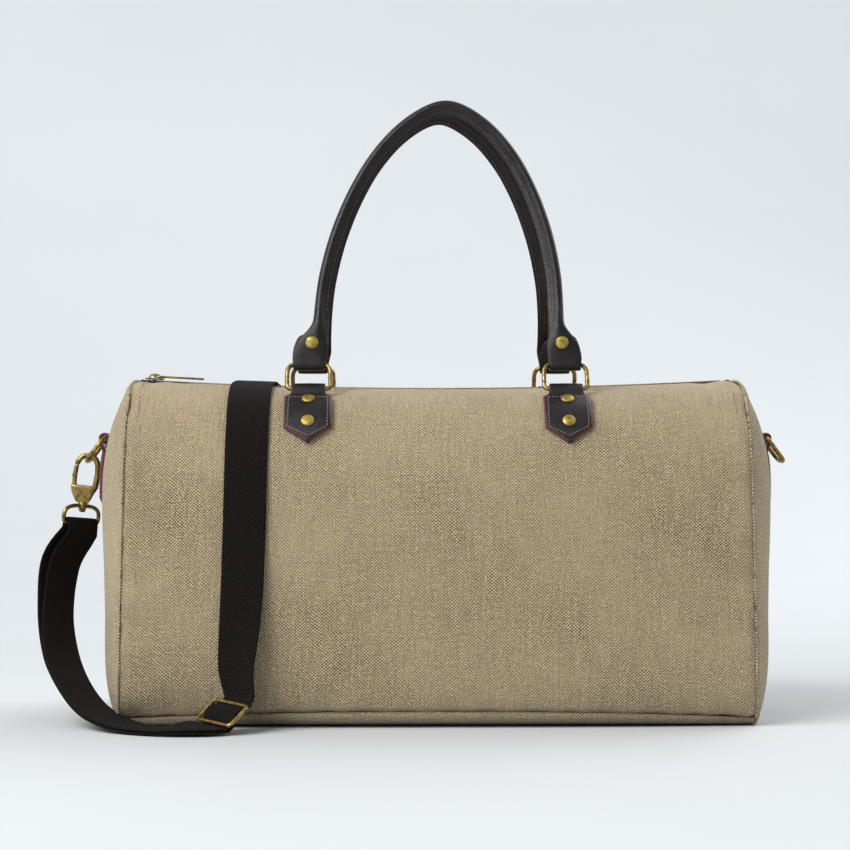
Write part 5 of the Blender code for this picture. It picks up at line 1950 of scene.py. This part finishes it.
@dataclass
class SnapHook:
    """A swivel snap hook: the webbing's eye, the cast hook with its bow, and the sprung gate."""

    hand: Hand
    frame: Frame
    eye_turn: float
    palette: Palette
    eye_width: float = 0.0405
    eye_height: float = 0.0165
    eye_wire: float = 0.0032
    width: float = 0.0215
    length: float = 0.039
    wire: float = 0.0040
    body: float = 0.013
    neck: float = 0.0025
    post: float = 0.0018
    bow_tip: float = 155.0
    gate_tip: float = 156.5

    def __post_init__(self) -> None:
        """Works out the levels along the hook."""
        self.eye_top = self.eye_height - self.eye_wire
        self.low = self.eye_top + self.neck
        self.high = self.low + self.body
        self.top = self.low + self.length - self.wire / 2
        self.inside = self.width / 2 - self.wire / 2

    def eye(self) -> None:
        """Builds the eye that the webbing runs through, with its barrel."""
        f = self.frame.turned(self.eye_turn)
        half = (self.eye_width - self.eye_wire) / 2
        outline = [
            (-half + 0.003, 0.0), (0.0, 0.0), (half - 0.003, 0.0), (half - 0.0012, 0.0004),
            (half - 0.0002, 0.0018),
        ]
        for i in range(25):
            out, rise = squircle(math.pi * i / 24, 3)
            outline.append((half * out, 0.0042 + (self.eye_top - 0.0042) * rise))
        outline += [(-half + 0.0002, 0.0018), (-half + 0.0012, 0.0004)]
        parts = [wire("eye", [f.at(a, b) for a, b in outline], self.eye_wire / 2, True, 16)]
        barrel = self.post + 0.0017
        parts.append(self.turning("barrel", f, ((barrel, -0.0021), (barrel, 0.0021))))
        self.finish(parts, "eye_", "strap_eye_")

    def turning(
        self, name: str, f: Frame, profile: Sequence[tuple[float, float]]
    ) -> bpy.types.Object:
        """A turned piece round the swivel's axis, with its two edges eased.

        Args:
            name: The object's name.
            f: The frame whose up axis it turns about.
            profile: The (radius, height over the eye's top) of its foot and of its top.

        Returns:
            The object.
        """
        ease = 0.0004
        (r0, h0), (r1, h1) = profile
        levels = ((r0 - ease, h0), (r0, h0 + ease), (r1, h1 - ease), (r1 - ease, h1))
        top = self.eye_top
        round_points = circle(24)
        return loft(
            name, [[f.at(r * c, top + h, r * s) for c, s in round_points] for r, h in levels]
        )

    def bow(self, first: float, last: float, steps: int) -> list[tuple[float, float]]:
        """Points on the bow's flattened arch between two angles in degrees."""
        level = self.high + 0.42 * (self.top - self.high)
        made = []
        for i in range(steps + 1):
            out, rise = squircle(math.radians(first + (last - first) * i / steps), 2.5)
            made.append((self.inside * out, level + (self.top - level) * rise))
        return made

    def hook(self) -> None:
        """Builds the cast hook: a shield-shaped body that runs into the bow, and its post."""
        f = self.frame
        outline = (
            (0.0, -0.0050, 0.0040, 0.0022), (0.05, -0.0058, 0.0047, 0.0030),
            (0.30, -0.0080, 0.0062, 0.0032), (0.62, -0.0100, 0.0080, 0.0032),
            (0.88, -0.0107, 0.0098, 0.0031), (1.0, -0.0107, 0.0105, 0.0029),
            (1.05, -0.0102, 0.0100, 0.0022),
        )
        rows = []
        for share, left, right, deep in outline:
            middle, wide = (left + right) / 2, (right - left) / 2
            height = self.low + self.body * share
            section = [squircle(2 * math.pi * i / 32, 7) for i in range(32)]
            rows.append([f.at(middle + wide * c, height, deep * s) for c, s in section])
        parts = [loft("hook_body", rows)]
        path = [(0.0064, self.high - 0.0030), (0.0080, self.high), *self.bow(0, self.bow_tip, 30)]
        radii = [0.0023, 0.0024] + [self.wire / 2 + 0.0004 * (1 - i / 30) for i in range(31)]
        radii[-1] *= 0.8
        parts.append(wire("bow", [f.at(a, b) for a, b in path], radii, sides=18))
        reach = self.low - self.eye_top + 0.002
        parts.append(self.turning("neck", f, ((self.post, -0.0040), (self.post, reach))))
        collar = 0.0036
        levels = ((collar, reach - 0.0036), (collar, reach - 0.0018))
        parts.append(self.turning("collar", f, levels))
        parts.append(self.turning("head", f, ((0.0022, -0.0050), (0.0031, -0.0024))))
        pin = f.at(-0.0012, self.low + 0.62 * self.body, -0.0037)
        end = f.at(-0.0012, self.low + 0.62 * self.body, 0.0037)
        parts.append(wire("rivet", [pin, end], 0.0013, sides=16))
        self.finish(parts, "hook_", "snap_hook_")

    def gate(self) -> None:
        """Builds the gate: a bar from the body's shoulder to the bow's tip, with its catch."""
        f = self.frame
        tip = self.bow(self.gate_tip, self.gate_tip, 1)[0]
        foot = (-0.0082, self.high - 0.0008)
        side = (-self.inside - 0.0001, self.high + 0.0065)
        rows = smooth_path([(*foot, 0.0), (*side, 0.0), (*tip, 0.0)], 0.0012)
        radii = [0.00185] * (len(rows) - 2) + [0.0018, 0.0015]
        parts = [wire("gate", [f.at(a, b) for a, b, _ in rows], radii, sides=14)]
        catch = [f.at(side[0] - 0.0012, side[1] + 0.0005), f.at(side[0] - 0.0017, side[1] + 0.0022)]
        parts.append(wire("catch", catch, 0.0009, sides=12))
        self.finish(parts, "gate_", "hook_gate_")

    def finish(self, parts: Sequence[bpy.types.Object], name: str, node: str) -> None:
        """Joins a piece, dresses it and puts it on the body that is named as its node.

        Args:
            parts: Its parts.
            name: Its name up to the hand.
            node: The name of its node and its body, up to the hand.
        """
        made = shade(settle(join(parts, name + self.hand.word)), 45)
        node += self.hand.word
        dress(made, [self.palette["brass"]], node, node)

    def build(self) -> None:
        """Builds the three pieces."""
        self.eye()
        self.hook()
        self.gate()


@dataclass
class ShoulderStrap:
    """The webbing strap: a doubled loop from hook to slider, then one layer over the bag."""

    shape: BagShape
    hardware: Hardware
    palette: Palette
    width: float = 0.032
    thick: float = 0.0018
    layer_gap: float = 0.0004
    eye_wire: float = 0.0032
    slider_wire: float = 0.0030
    slider_width: float = 0.0395
    slider_length: float = 0.0245
    tilt: float = math.radians(7)
    eye_turn: float = -50.0

    def __post_init__(self) -> None:
        """Sets up the frames of the hooks and the slider."""
        h = self.hardware
        line = h.end_line(self.shape, Hand.LEFT)
        bar = line.place(0.0, h.bar_height)
        down = Vector((-math.cos(h.side_drop), 0, -math.sin(h.side_drop)))
        ring_wire = bar + down * (h.ring_height - h.wire)
        up = Vector((math.sin(self.tilt), 0, math.cos(self.tilt)))
        eye_top = SnapHook.eye_height - self.eye_wire
        top = eye_top + SnapHook.neck + SnapHook.length - SnapHook.wire / 2
        drop = top - (SnapHook.wire + h.wire) / 2 - h.gap
        self.left = Frame(ring_wire - up * drop, Vector((up.z, 0, -up.x)), up)
        run = Vector((math.cos(self.tilt), 0.0, -math.sin(self.tilt)))
        rear = (-Z_AXIS - run * (-Z_AXIS).dot(run)).normalized()
        self.rear = Frame(Vector((0.0180, 0.1760, 0.0210)), rear, run)
        along = Vector((0.596, 0.520, 0.600)).normalized()
        across = Vector((0.697, -0.713, -0.068))
        across = (across - along * across.dot(along)).normalized()
        self.slider = Frame(Vector((-0.1594, -0.1455, 0.0148)), across, along)

    @property
    def bend(self) -> float:
        """The radius of the webbing's middle where it turns round an eye."""
        return self.eye_wire / 2 + 0.0006 + self.thick / 2

    def doubled(self) -> list[tuple[Vector, Vector, float]]:
        """Centre, across and half spacing of the doubled run, from the eye to the slider."""
        eye = self.left.turned(self.eye_turn)
        bar, across = eye.origin, eye.right
        slider = self.slider
        close = (self.thick + self.layer_gap) / 2
        under = -(self.slider_wire + self.thick) / 2 - 0.0003 - close
        leave = slider.at(0, -self.slider_length / 2, under)
        into = slider.at(0, -self.slider_length / 2 - 0.0045, under + 0.0034)
        flat = self.thick + self.layer_gap / 2 + 0.0003
        return [
            (bar - eye.up * 0.0085, across, 0.0036),
            (Vector((-0.2940, -0.0060, 0.1180)), across, 0.0052),
            (Vector((-0.2965, -0.0190, 0.0830)), across.lerp(Y_AXIS, 0.08), 0.0034),
            (Vector((-0.2905, -0.0420, 0.0530)), Vector((0.60, 0.80, 0.05)), 0.0018),
            (Vector((-0.2790, -0.0690, 0.0320)), Vector((0.52, 0.84, 0.08)), close),
            (Vector((-0.2600, -0.1010, 0.0135)), Vector((0.44, 0.89, 0.08)), close),
            (Vector((-0.2360, -0.1300, flat + 0.0022)), Vector((0.36, 0.93, 0.04)), close),
            (Vector((-0.2100, -0.1480, flat)), Vector((0.24, 0.97, 0.00)), close),
            (Vector((-0.1880, -0.1555, flat + 0.0026)), Vector((0.02, 0.99, 0.10)), close),
            (into, -slider.right, close),
            (leave, -slider.right, close),
            (slider.at(0, -0.0040, under - 0.0002), -slider.right, close),
        ]

    def single(self) -> list[tuple[Vector, Vector]]:
        """Centre and across of the single run, from the slider over the bag to the floor behind."""
        shape, slider = self.shape, self.slider
        under = -(self.slider_wire + self.thick) / 2 - 0.0003
        over = -0.0006 + 0.0012 + 0.0003 + self.thick / 2
        turn = -slider.right
        points = [
            (slider.at(0, -0.0085, under + 0.0004), turn),
            (slider.at(0, 0.0015, over), turn),
            (slider.at(0, 0.0108, under), turn),
            (slider.at(0, 0.0190, under + 0.0014), turn),
        ]
        lift = self.thick / 2 + 0.0009
        across_top = Vector((-1, 0, 0.14 / shape.radius))
        climb = (
            (-0.1500, 0.046, 0.0100, Vector((-0.84, 0.54, 0.03))),
            (-0.1480, 0.074, 0.0062, Vector((-0.95, 0.32, 0.0))),
            (-0.1460, 0.105, 0.0030, Vector((-0.99, 0.13, 0.0))),
            (-0.1448, 0.140, 0.0006, -X_AXIS),
            (-0.1440, 0.170, 0.0, -X_AXIS),
        )
        for x, z, stand, across in climb:
            y = shape.foot(x, z) if z < shape.widest else shape.half_depth(x)
            points.append((Vector((x, -(y + lift + stand), z)), across))
        start, end = 0.50, shape.mouth_angle(-0.142, 0.030)
        for share in (0.0, 0.2, 0.4, 0.6, 0.8, 1.0):
            y, z = shape.shoulder(-0.1436 + 0.002 * share, start + (end - start) * share, -lift)
            points.append((Vector((-0.1436 + 0.002 * share, -y, z)), across_top))
        crown = shape.mouth(-0.138) + shape.teeth_top + lift + 0.0004
        points.append((Vector((-0.1405, 0.0, crown)), across_top))
        for share in (1.0, 0.8, 0.6, 0.4, 0.2, 0.0):
            x = -0.1395 + 0.010 * (1 - share)
            y, z = shape.shoulder(x, start + (end - start) * share, -lift)
            points.append((Vector((x, y, z)), across_top))
        for x, z in ((-0.127, 0.150), (-0.122, 0.110), (-0.117, 0.070), (-0.113, 0.036)):
            y = shape.foot(x, min(z, shape.widest))
            points.append((Vector((x, y + lift + 0.0004, z)), Vector((-1, 0.0, -0.12))))
        points += [
            (Vector((-0.1110, 0.1275, 0.0140)), Vector((-1, 0.05, -0.10))),
            (Vector((-0.1070, 0.1400, 0.0035)), Vector((-0.98, 0.20, -0.02))),
            (Vector((-0.0990, 0.1560, 0.0076)), Vector((-0.78, 0.50, 0.30))),
            (Vector((-0.0850, 0.1690, 0.0146)), Vector((-0.45, 0.42, 0.79))),
            (Vector((-0.0670, 0.1760, 0.0178)), Vector((-0.10, 0.12, 0.99))),
            (Vector((-0.0450, 0.1780, 0.0186)), Vector((0.0, 0.0, 1.0))),
            (Vector((-0.0240, 0.1785, 0.0196)), Vector((0.06, 0.0, 1.0))),
            (Vector((0.0040, 0.1784, 0.0208)), Vector((0.12, 0.0, 1.0))),
        ]
        return points

    def loop_stations(self) -> list[tuple[Vector, Vector]]:
        """(centre, across) from the sewn end up round the eye and back to the slider."""
        eye = self.left.turned(self.eye_turn)
        rows = smooth_path([(*c, *a, spread) for c, a, spread in self.doubled()], 0.0045)
        centres = [Vector(row[:3]) for row in rows]
        fan = []
        for i, row in enumerate(rows):
            centre, across = centres[i], Vector(row[3:6]).normalized()
            tangent = direction(centres, i)
            if i == 0:
                tangent = -eye.up
            if i >= len(rows) - 3:
                tangent = self.slider.up
            across = (across - tangent * across.dot(tangent)).normalized()
            fan.append((centre, across, tangent.cross(across), row[6]))
        stations = [(c - n * spread, a) for c, a, n, spread in reversed(fan)]
        bend = self.bend
        for degrees in (-60, -40, -20, 0, 20, 40, 60):
            a = math.radians(degrees)
            point = eye.origin + eye.up * (bend * math.cos(a)) + fan[0][2] * (bend * math.sin(a))
            stations.append((point, eye.right))
        stations += [(c + n * spread, a) for c, a, n, spread in fan[:-2]]
        return stations

    def main_stations(self) -> list[tuple[Vector, Vector]]:
        """(centre, across) from the slider over the bag and round the loose hook's eye."""
        rows = smooth_path([(*c, *a) for c, a in self.single()], 0.0045)
        stations = [(Vector(row[:3]), Vector(row[3:6]).normalized()) for row in rows]
        bend = self.bend
        rear, side = self.rear, -self.rear.out
        for degrees in (-70, -45, -20, 0, 20, 45, 70):
            a = math.radians(degrees)
            point = rear.origin + rear.up * (bend * math.cos(a)) - side * (bend * math.sin(a))
            stations.append((point, -rear.right))
        back = self.thick + self.layer_gap
        for along in (0.0040, 0.0080, 0.0120, 0.0160, 0.0200, 0.0250, 0.0300):
            spot = rear.origin - rear.up * along
            spread = bend + (back / 2 - bend) * min(1.0, along / 0.016)
            stations.append((spot - side * (2 * spread - back / 2 - 0.0002), -rear.right))
        return stations

    def webbing(self, name: str, stations: Sequence[tuple[Vector, Vector]]) -> tuple:
        """Builds a run of webbing as a band with a UV map in metres.

        Args:
            name: The object's name.
            stations: (centre, across) along it.

        Returns:
            The object and its length.
        """
        w, t = self.width / 2, self.thick / 2
        outline = [
            (w, 0.3 * t), (w - 0.0005, 0.85 * t), (w - 0.0022, t), (w * 0.33, t), (-w * 0.33, t),
            (0.0022 - w, t), (0.0005 - w, 0.85 * t), (-w, 0.3 * t), (-w, -0.3 * t),
            (0.0005 - w, -0.85 * t), (0.0022 - w, -t), (-w * 0.33, -t), (w * 0.33, -t),
            (w - 0.0022, -t), (w - 0.0005, -0.85 * t), (w, -0.3 * t),
        ]
        centres = [centre for centre, _ in stations]
        loops = []
        for i, (centre, across) in enumerate(stations):
            tangent = direction(centres, i)
            flat = (across - tangent * across.dot(tangent)).normalized()
            outward = tangent.cross(flat)
            loops.append([centre + flat * a + outward * b for a, b in outline])
        made = loft(name, loops)
        along = running_lengths(centres)
        lay_uv(made, [(a, length) for length in along for a, _ in outline])
        dress(shade(made, 60), [self.palette["webbing"]], "", "")
        return made, along[-1]

    def build(self) -> None:
        """Builds the two runs of webbing, the slider and both hooks."""
        run, length = self.webbing("strap_over_bag", self.main_stations())
        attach(run, "bag")
        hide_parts("shoulder_strap")
        box_stitch = self.box_stitch()
        loop, loop_length = self.webbing("strap_loop", self.loop_stations())
        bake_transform(loop)
        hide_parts("shoulder_strap")
        LOG.info("strap: %.3f m in the loop, %.3f m over the bag", loop_length, length)
        self.buckle()
        SnapHook(Hand.LEFT, self.left, self.eye_turn, self.palette).build()
        SnapHook(Hand.RIGHT, self.rear, 0.0, self.palette).build()

    def box_stitch(self) -> bpy.types.Object:
        """Sews the webbing's end behind the loose hook: a box with a cross in it."""
        rear, side = self.rear, -self.rear.out
        face = side * (self.thick * 0.5 + 0.0028)
        sewn = Stitches("strap_box_stitch", self.palette["thread"], 0.00035)
        w = self.width / 2 - 0.004
        near, far = 0.012, 0.028
        corners = [
            (near, -w), (far, -w), (far, w), (near, w), (near, -w), (far, w), (far, -w), (near, w)
        ]
        for (a0, b0), (a1, b1) in zip(corners, corners[1:]):
            row = []
            for t in (0.0, 0.5, 1.0):
                along, across = a0 + (a1 - a0) * t, b0 + (b1 - b0) * t
                row.append((rear.origin - rear.up * along + rear.right * across + face, side))
            sewn.row(row, 0.0026)
        return sewn.build("bag", "webbing")

    def buckle(self) -> None:
        """Builds the wire slider with its middle bar."""
        half = (self.slider_width - self.slider_wire) / 2
        long = (self.slider_length - self.slider_wire) / 2
        corner = 0.003
        outline = []
        for cx, cy, start in (
            (half - corner, corner - long, -90), (half - corner, long - corner, 0),
            (corner - half, long - corner, 90), (corner - half, corner - long, 180),
        ):
            for k in range(7):
                a = math.radians(start + 15 * k)
                outline.append((cx + corner * math.cos(a), cy + corner * math.sin(a)))
        points = [self.slider.at(a, b) for a, b in outline]
        parts = [wire("buckle", points, self.slider_wire / 2, closed=True, sides=16)]
        bar = [self.slider.at(-half, 0.0015, -0.0006), self.slider.at(half, 0.0015, -0.0006)]
        parts.append(wire("bar", bar, 0.0012, sides=14))
        made = shade(join(parts, "buckle"), 45)
        dress(made, [self.palette["buckle"]], "bag", "strap_slider")


# ---------------------------------------------------------------- studio


@dataclass
class Studio:
    """A pale seamless floor, soft light from the upper left and a long lens."""

    eye: tuple[float, float, float] = (-0.043, -2.14, 0.226)
    lens: float = 115.0
    turn: float = -0.93
    glow: tuple[float, float, float] = (0.335, 0.35, 0.36)
    reach: float = 14.0
    wall: float = 5.0
    curve: float = 3.2
    pale: tuple[float, float, float] = (0.80, 0.845, 0.87)

    def camera(self) -> None:
        """Sets up the camera, level and square to the bag's front."""
        data = bpy.data.cameras.new("camera")
        data.lens = self.lens
        data.clip_end = 200.0
        made = place_in_scene("camera", data)
        made.location = self.eye
        made.rotation_euler = (math.radians(90), 0, math.radians(self.turn))
        bpy.context.scene.camera = made

    def light(self, name: str, place: Sequence[float], size: float, power: float) -> None:
        """Adds a square soft light aimed at the bag's middle."""
        data = bpy.data.lights.new(name, "AREA")
        data.size = size
        data.energy = power
        made = place_in_scene(name, data)
        made.location = place
        aim = Vector((0, 0, 0.15)) - Vector(place)
        made.rotation_euler = aim.to_track_quat("-Z", "Y").to_euler()

    def sweep(self, finish: bpy.types.Material) -> None:
        """Builds the seamless backdrop: a floor that curves up into a wall behind the bag."""
        profile = [(-self.reach, 0.0), (-4.0, 0.0), (-1.0, 0.0), (0.0, 0.0), (1.0, 0.0)]
        for i in range(25):
            a = math.radians(90 * i / 24)
            y = self.wall - self.curve + self.curve * math.sin(a)
            profile.append((y, self.curve * (1 - math.cos(a))))
        profile += [(self.wall, self.reach)]
        points = [Vector((x, y, z - 0.0004)) for y, z in profile for x in (-self.reach, self.reach)]
        faces = [(2 * i, 2 * i + 1, 2 * i + 3, 2 * i + 2) for i in range(len(profile) - 1)]
        made = from_points("studio_sweep", points, faces)
        for polygon in made.data.polygons:
            polygon.use_smooth = True
        shader = finish.node_tree.nodes["Principled BSDF"]
        g = Graph(finish.node_tree)
        depth = g.add("ShaderNodeSeparateXYZ", {0: g.own_place()}).outputs[1]
        far = g.ramp(depth, 0.6, 4.0)
        g.link(g.mix(far, (0.0, 0.0, 0.0), self.glow), shader.inputs["Emission Color"])
        shader.inputs["Emission Strength"].default_value = 1.0
        paint(made, finish)

    def build(self, finish: bpy.types.Material) -> None:
        """Builds the backdrop, the lights and the surrounding light."""
        self.camera()
        self.sweep(finish)
        self.light("key", (-1.9, -1.75, 2.4), 2.3, 116.0)
        self.light("fill", (2.4, -0.6, 1.3), 1.8, 3.0)
        self.light("back", (1.6, 1.4, 2.1), 2.4, 42.0)
        world = bpy.data.worlds.new("studio")
        world.use_nodes = True
        sky = world.node_tree.nodes["Background"]
        sky.inputs["Color"].default_value = (*self.pale, 1.0)
        sky.inputs["Strength"].default_value = 0.46
        bpy.context.scene.world = world
        bpy.context.scene.view_settings.view_transform = "Standard"


# (shift along the bag, height over the rings) of each handle's arch
HANDLE_SHAPES = {Side.FRONT: (0.008, 0.2017), Side.BACK: (0.003, 0.1977)}
TAB_RIVETS = {"upper": 0.0165, "lower": 0.0395}


def fit_handle_tab(
    side: Side, hand: Hand, shape: BagShape, hardware: Hardware, palette: Palette, rivets: Rivets
) -> None:
    """Builds the tab under one end of a handle, with its two rivets.

    Args:
        side: The handle's side.
        hand: The handle's end.
        shape: The bag's outer surface.
        hardware: The shared sizes.
        palette: The materials.
        rivets: The pattern of the rivets.
    """
    place = side.word + "_" + hand.word
    line = hardware.shoulder_line(shape, hand.value * hardware.spacing / 2, side)
    LeatherTab("tab_" + place, "handle_tab_" + place, line, hardware, palette).build()
    for level, distance in TAB_RIVETS.items():
        base = line.place(distance, 2 * hardware.gap + 2 * hardware.leather)
        name, outward = place + "_" + level, line.at(distance)[2]
        rivets.place("rivet_tab_" + name, "tab_rivet_" + name, base, outward, "bag")


def fit_side_tab(hand: Hand, shape: BagShape, hardware: Hardware, palette: Palette) -> None:
    """Builds the tab and the ring at one end of the bag.

    Args:
        hand: The end.
        shape: The bag's outer surface.
        hardware: The shared sizes.
        palette: The materials.
    """
    line = hardware.end_line(shape, hand)
    tab = LeatherTab(
        "tab_end_" + hand.word, "side_tab_" + hand.word, line, hardware, palette,
        width=0.030, length=0.050, point=0.004,
    )
    tab.build()
    bar = line.place(0.0, hardware.bar_height)
    drop = hardware.side_drop
    down = Vector((hand.value * math.cos(drop), 0, -math.sin(drop)))
    name = "side_ring_" + hand.word
    Ring(hardware, palette).build("ring_end_" + hand.word, name, bar, Y_AXIS, down, name)


def main() -> None:
    """Builds the studio and every piece of the bag, and reports each."""
    logging.basicConfig(level=logging.INFO, format="%(name)s: %(message)s")
    groups = Groups()
    floor = PlainFinish("floor", (0.64, 0.66, 0.675), 0.8, mottle=0.02, scale=3.0, relief=0.0)
    Studio().build(floor.build(groups))
    palette = Palette(groups)
    shape = BagShape()
    hardware = Hardware()
    ShoulderStrap(shape, hardware, palette).build()
    LOG.info("strap built")
    CanvasBody(shape, palette).build()
    LiningBag(shape, palette).build()
    LOG.info("canvas built")
    Zipper(shape, palette).build()
    LOG.info("zip built")
    rivets = Rivets(palette)
    for side in Side:
        shift, height = HANDLE_SHAPES[side]
        Handle(side, shape, hardware, palette, rivets, shift=shift, height=height).build()
        for hand in Hand:
            fit_handle_tab(side, hand, shape, hardware, palette, rivets)
    LOG.info("handles built")
    for hand in Hand:
        fit_side_tab(hand, shape, hardware, palette)
    paint_node("base_board", palette["board"])
    LOG.info("sizes written")


if __name__ == "__main__":
    main()
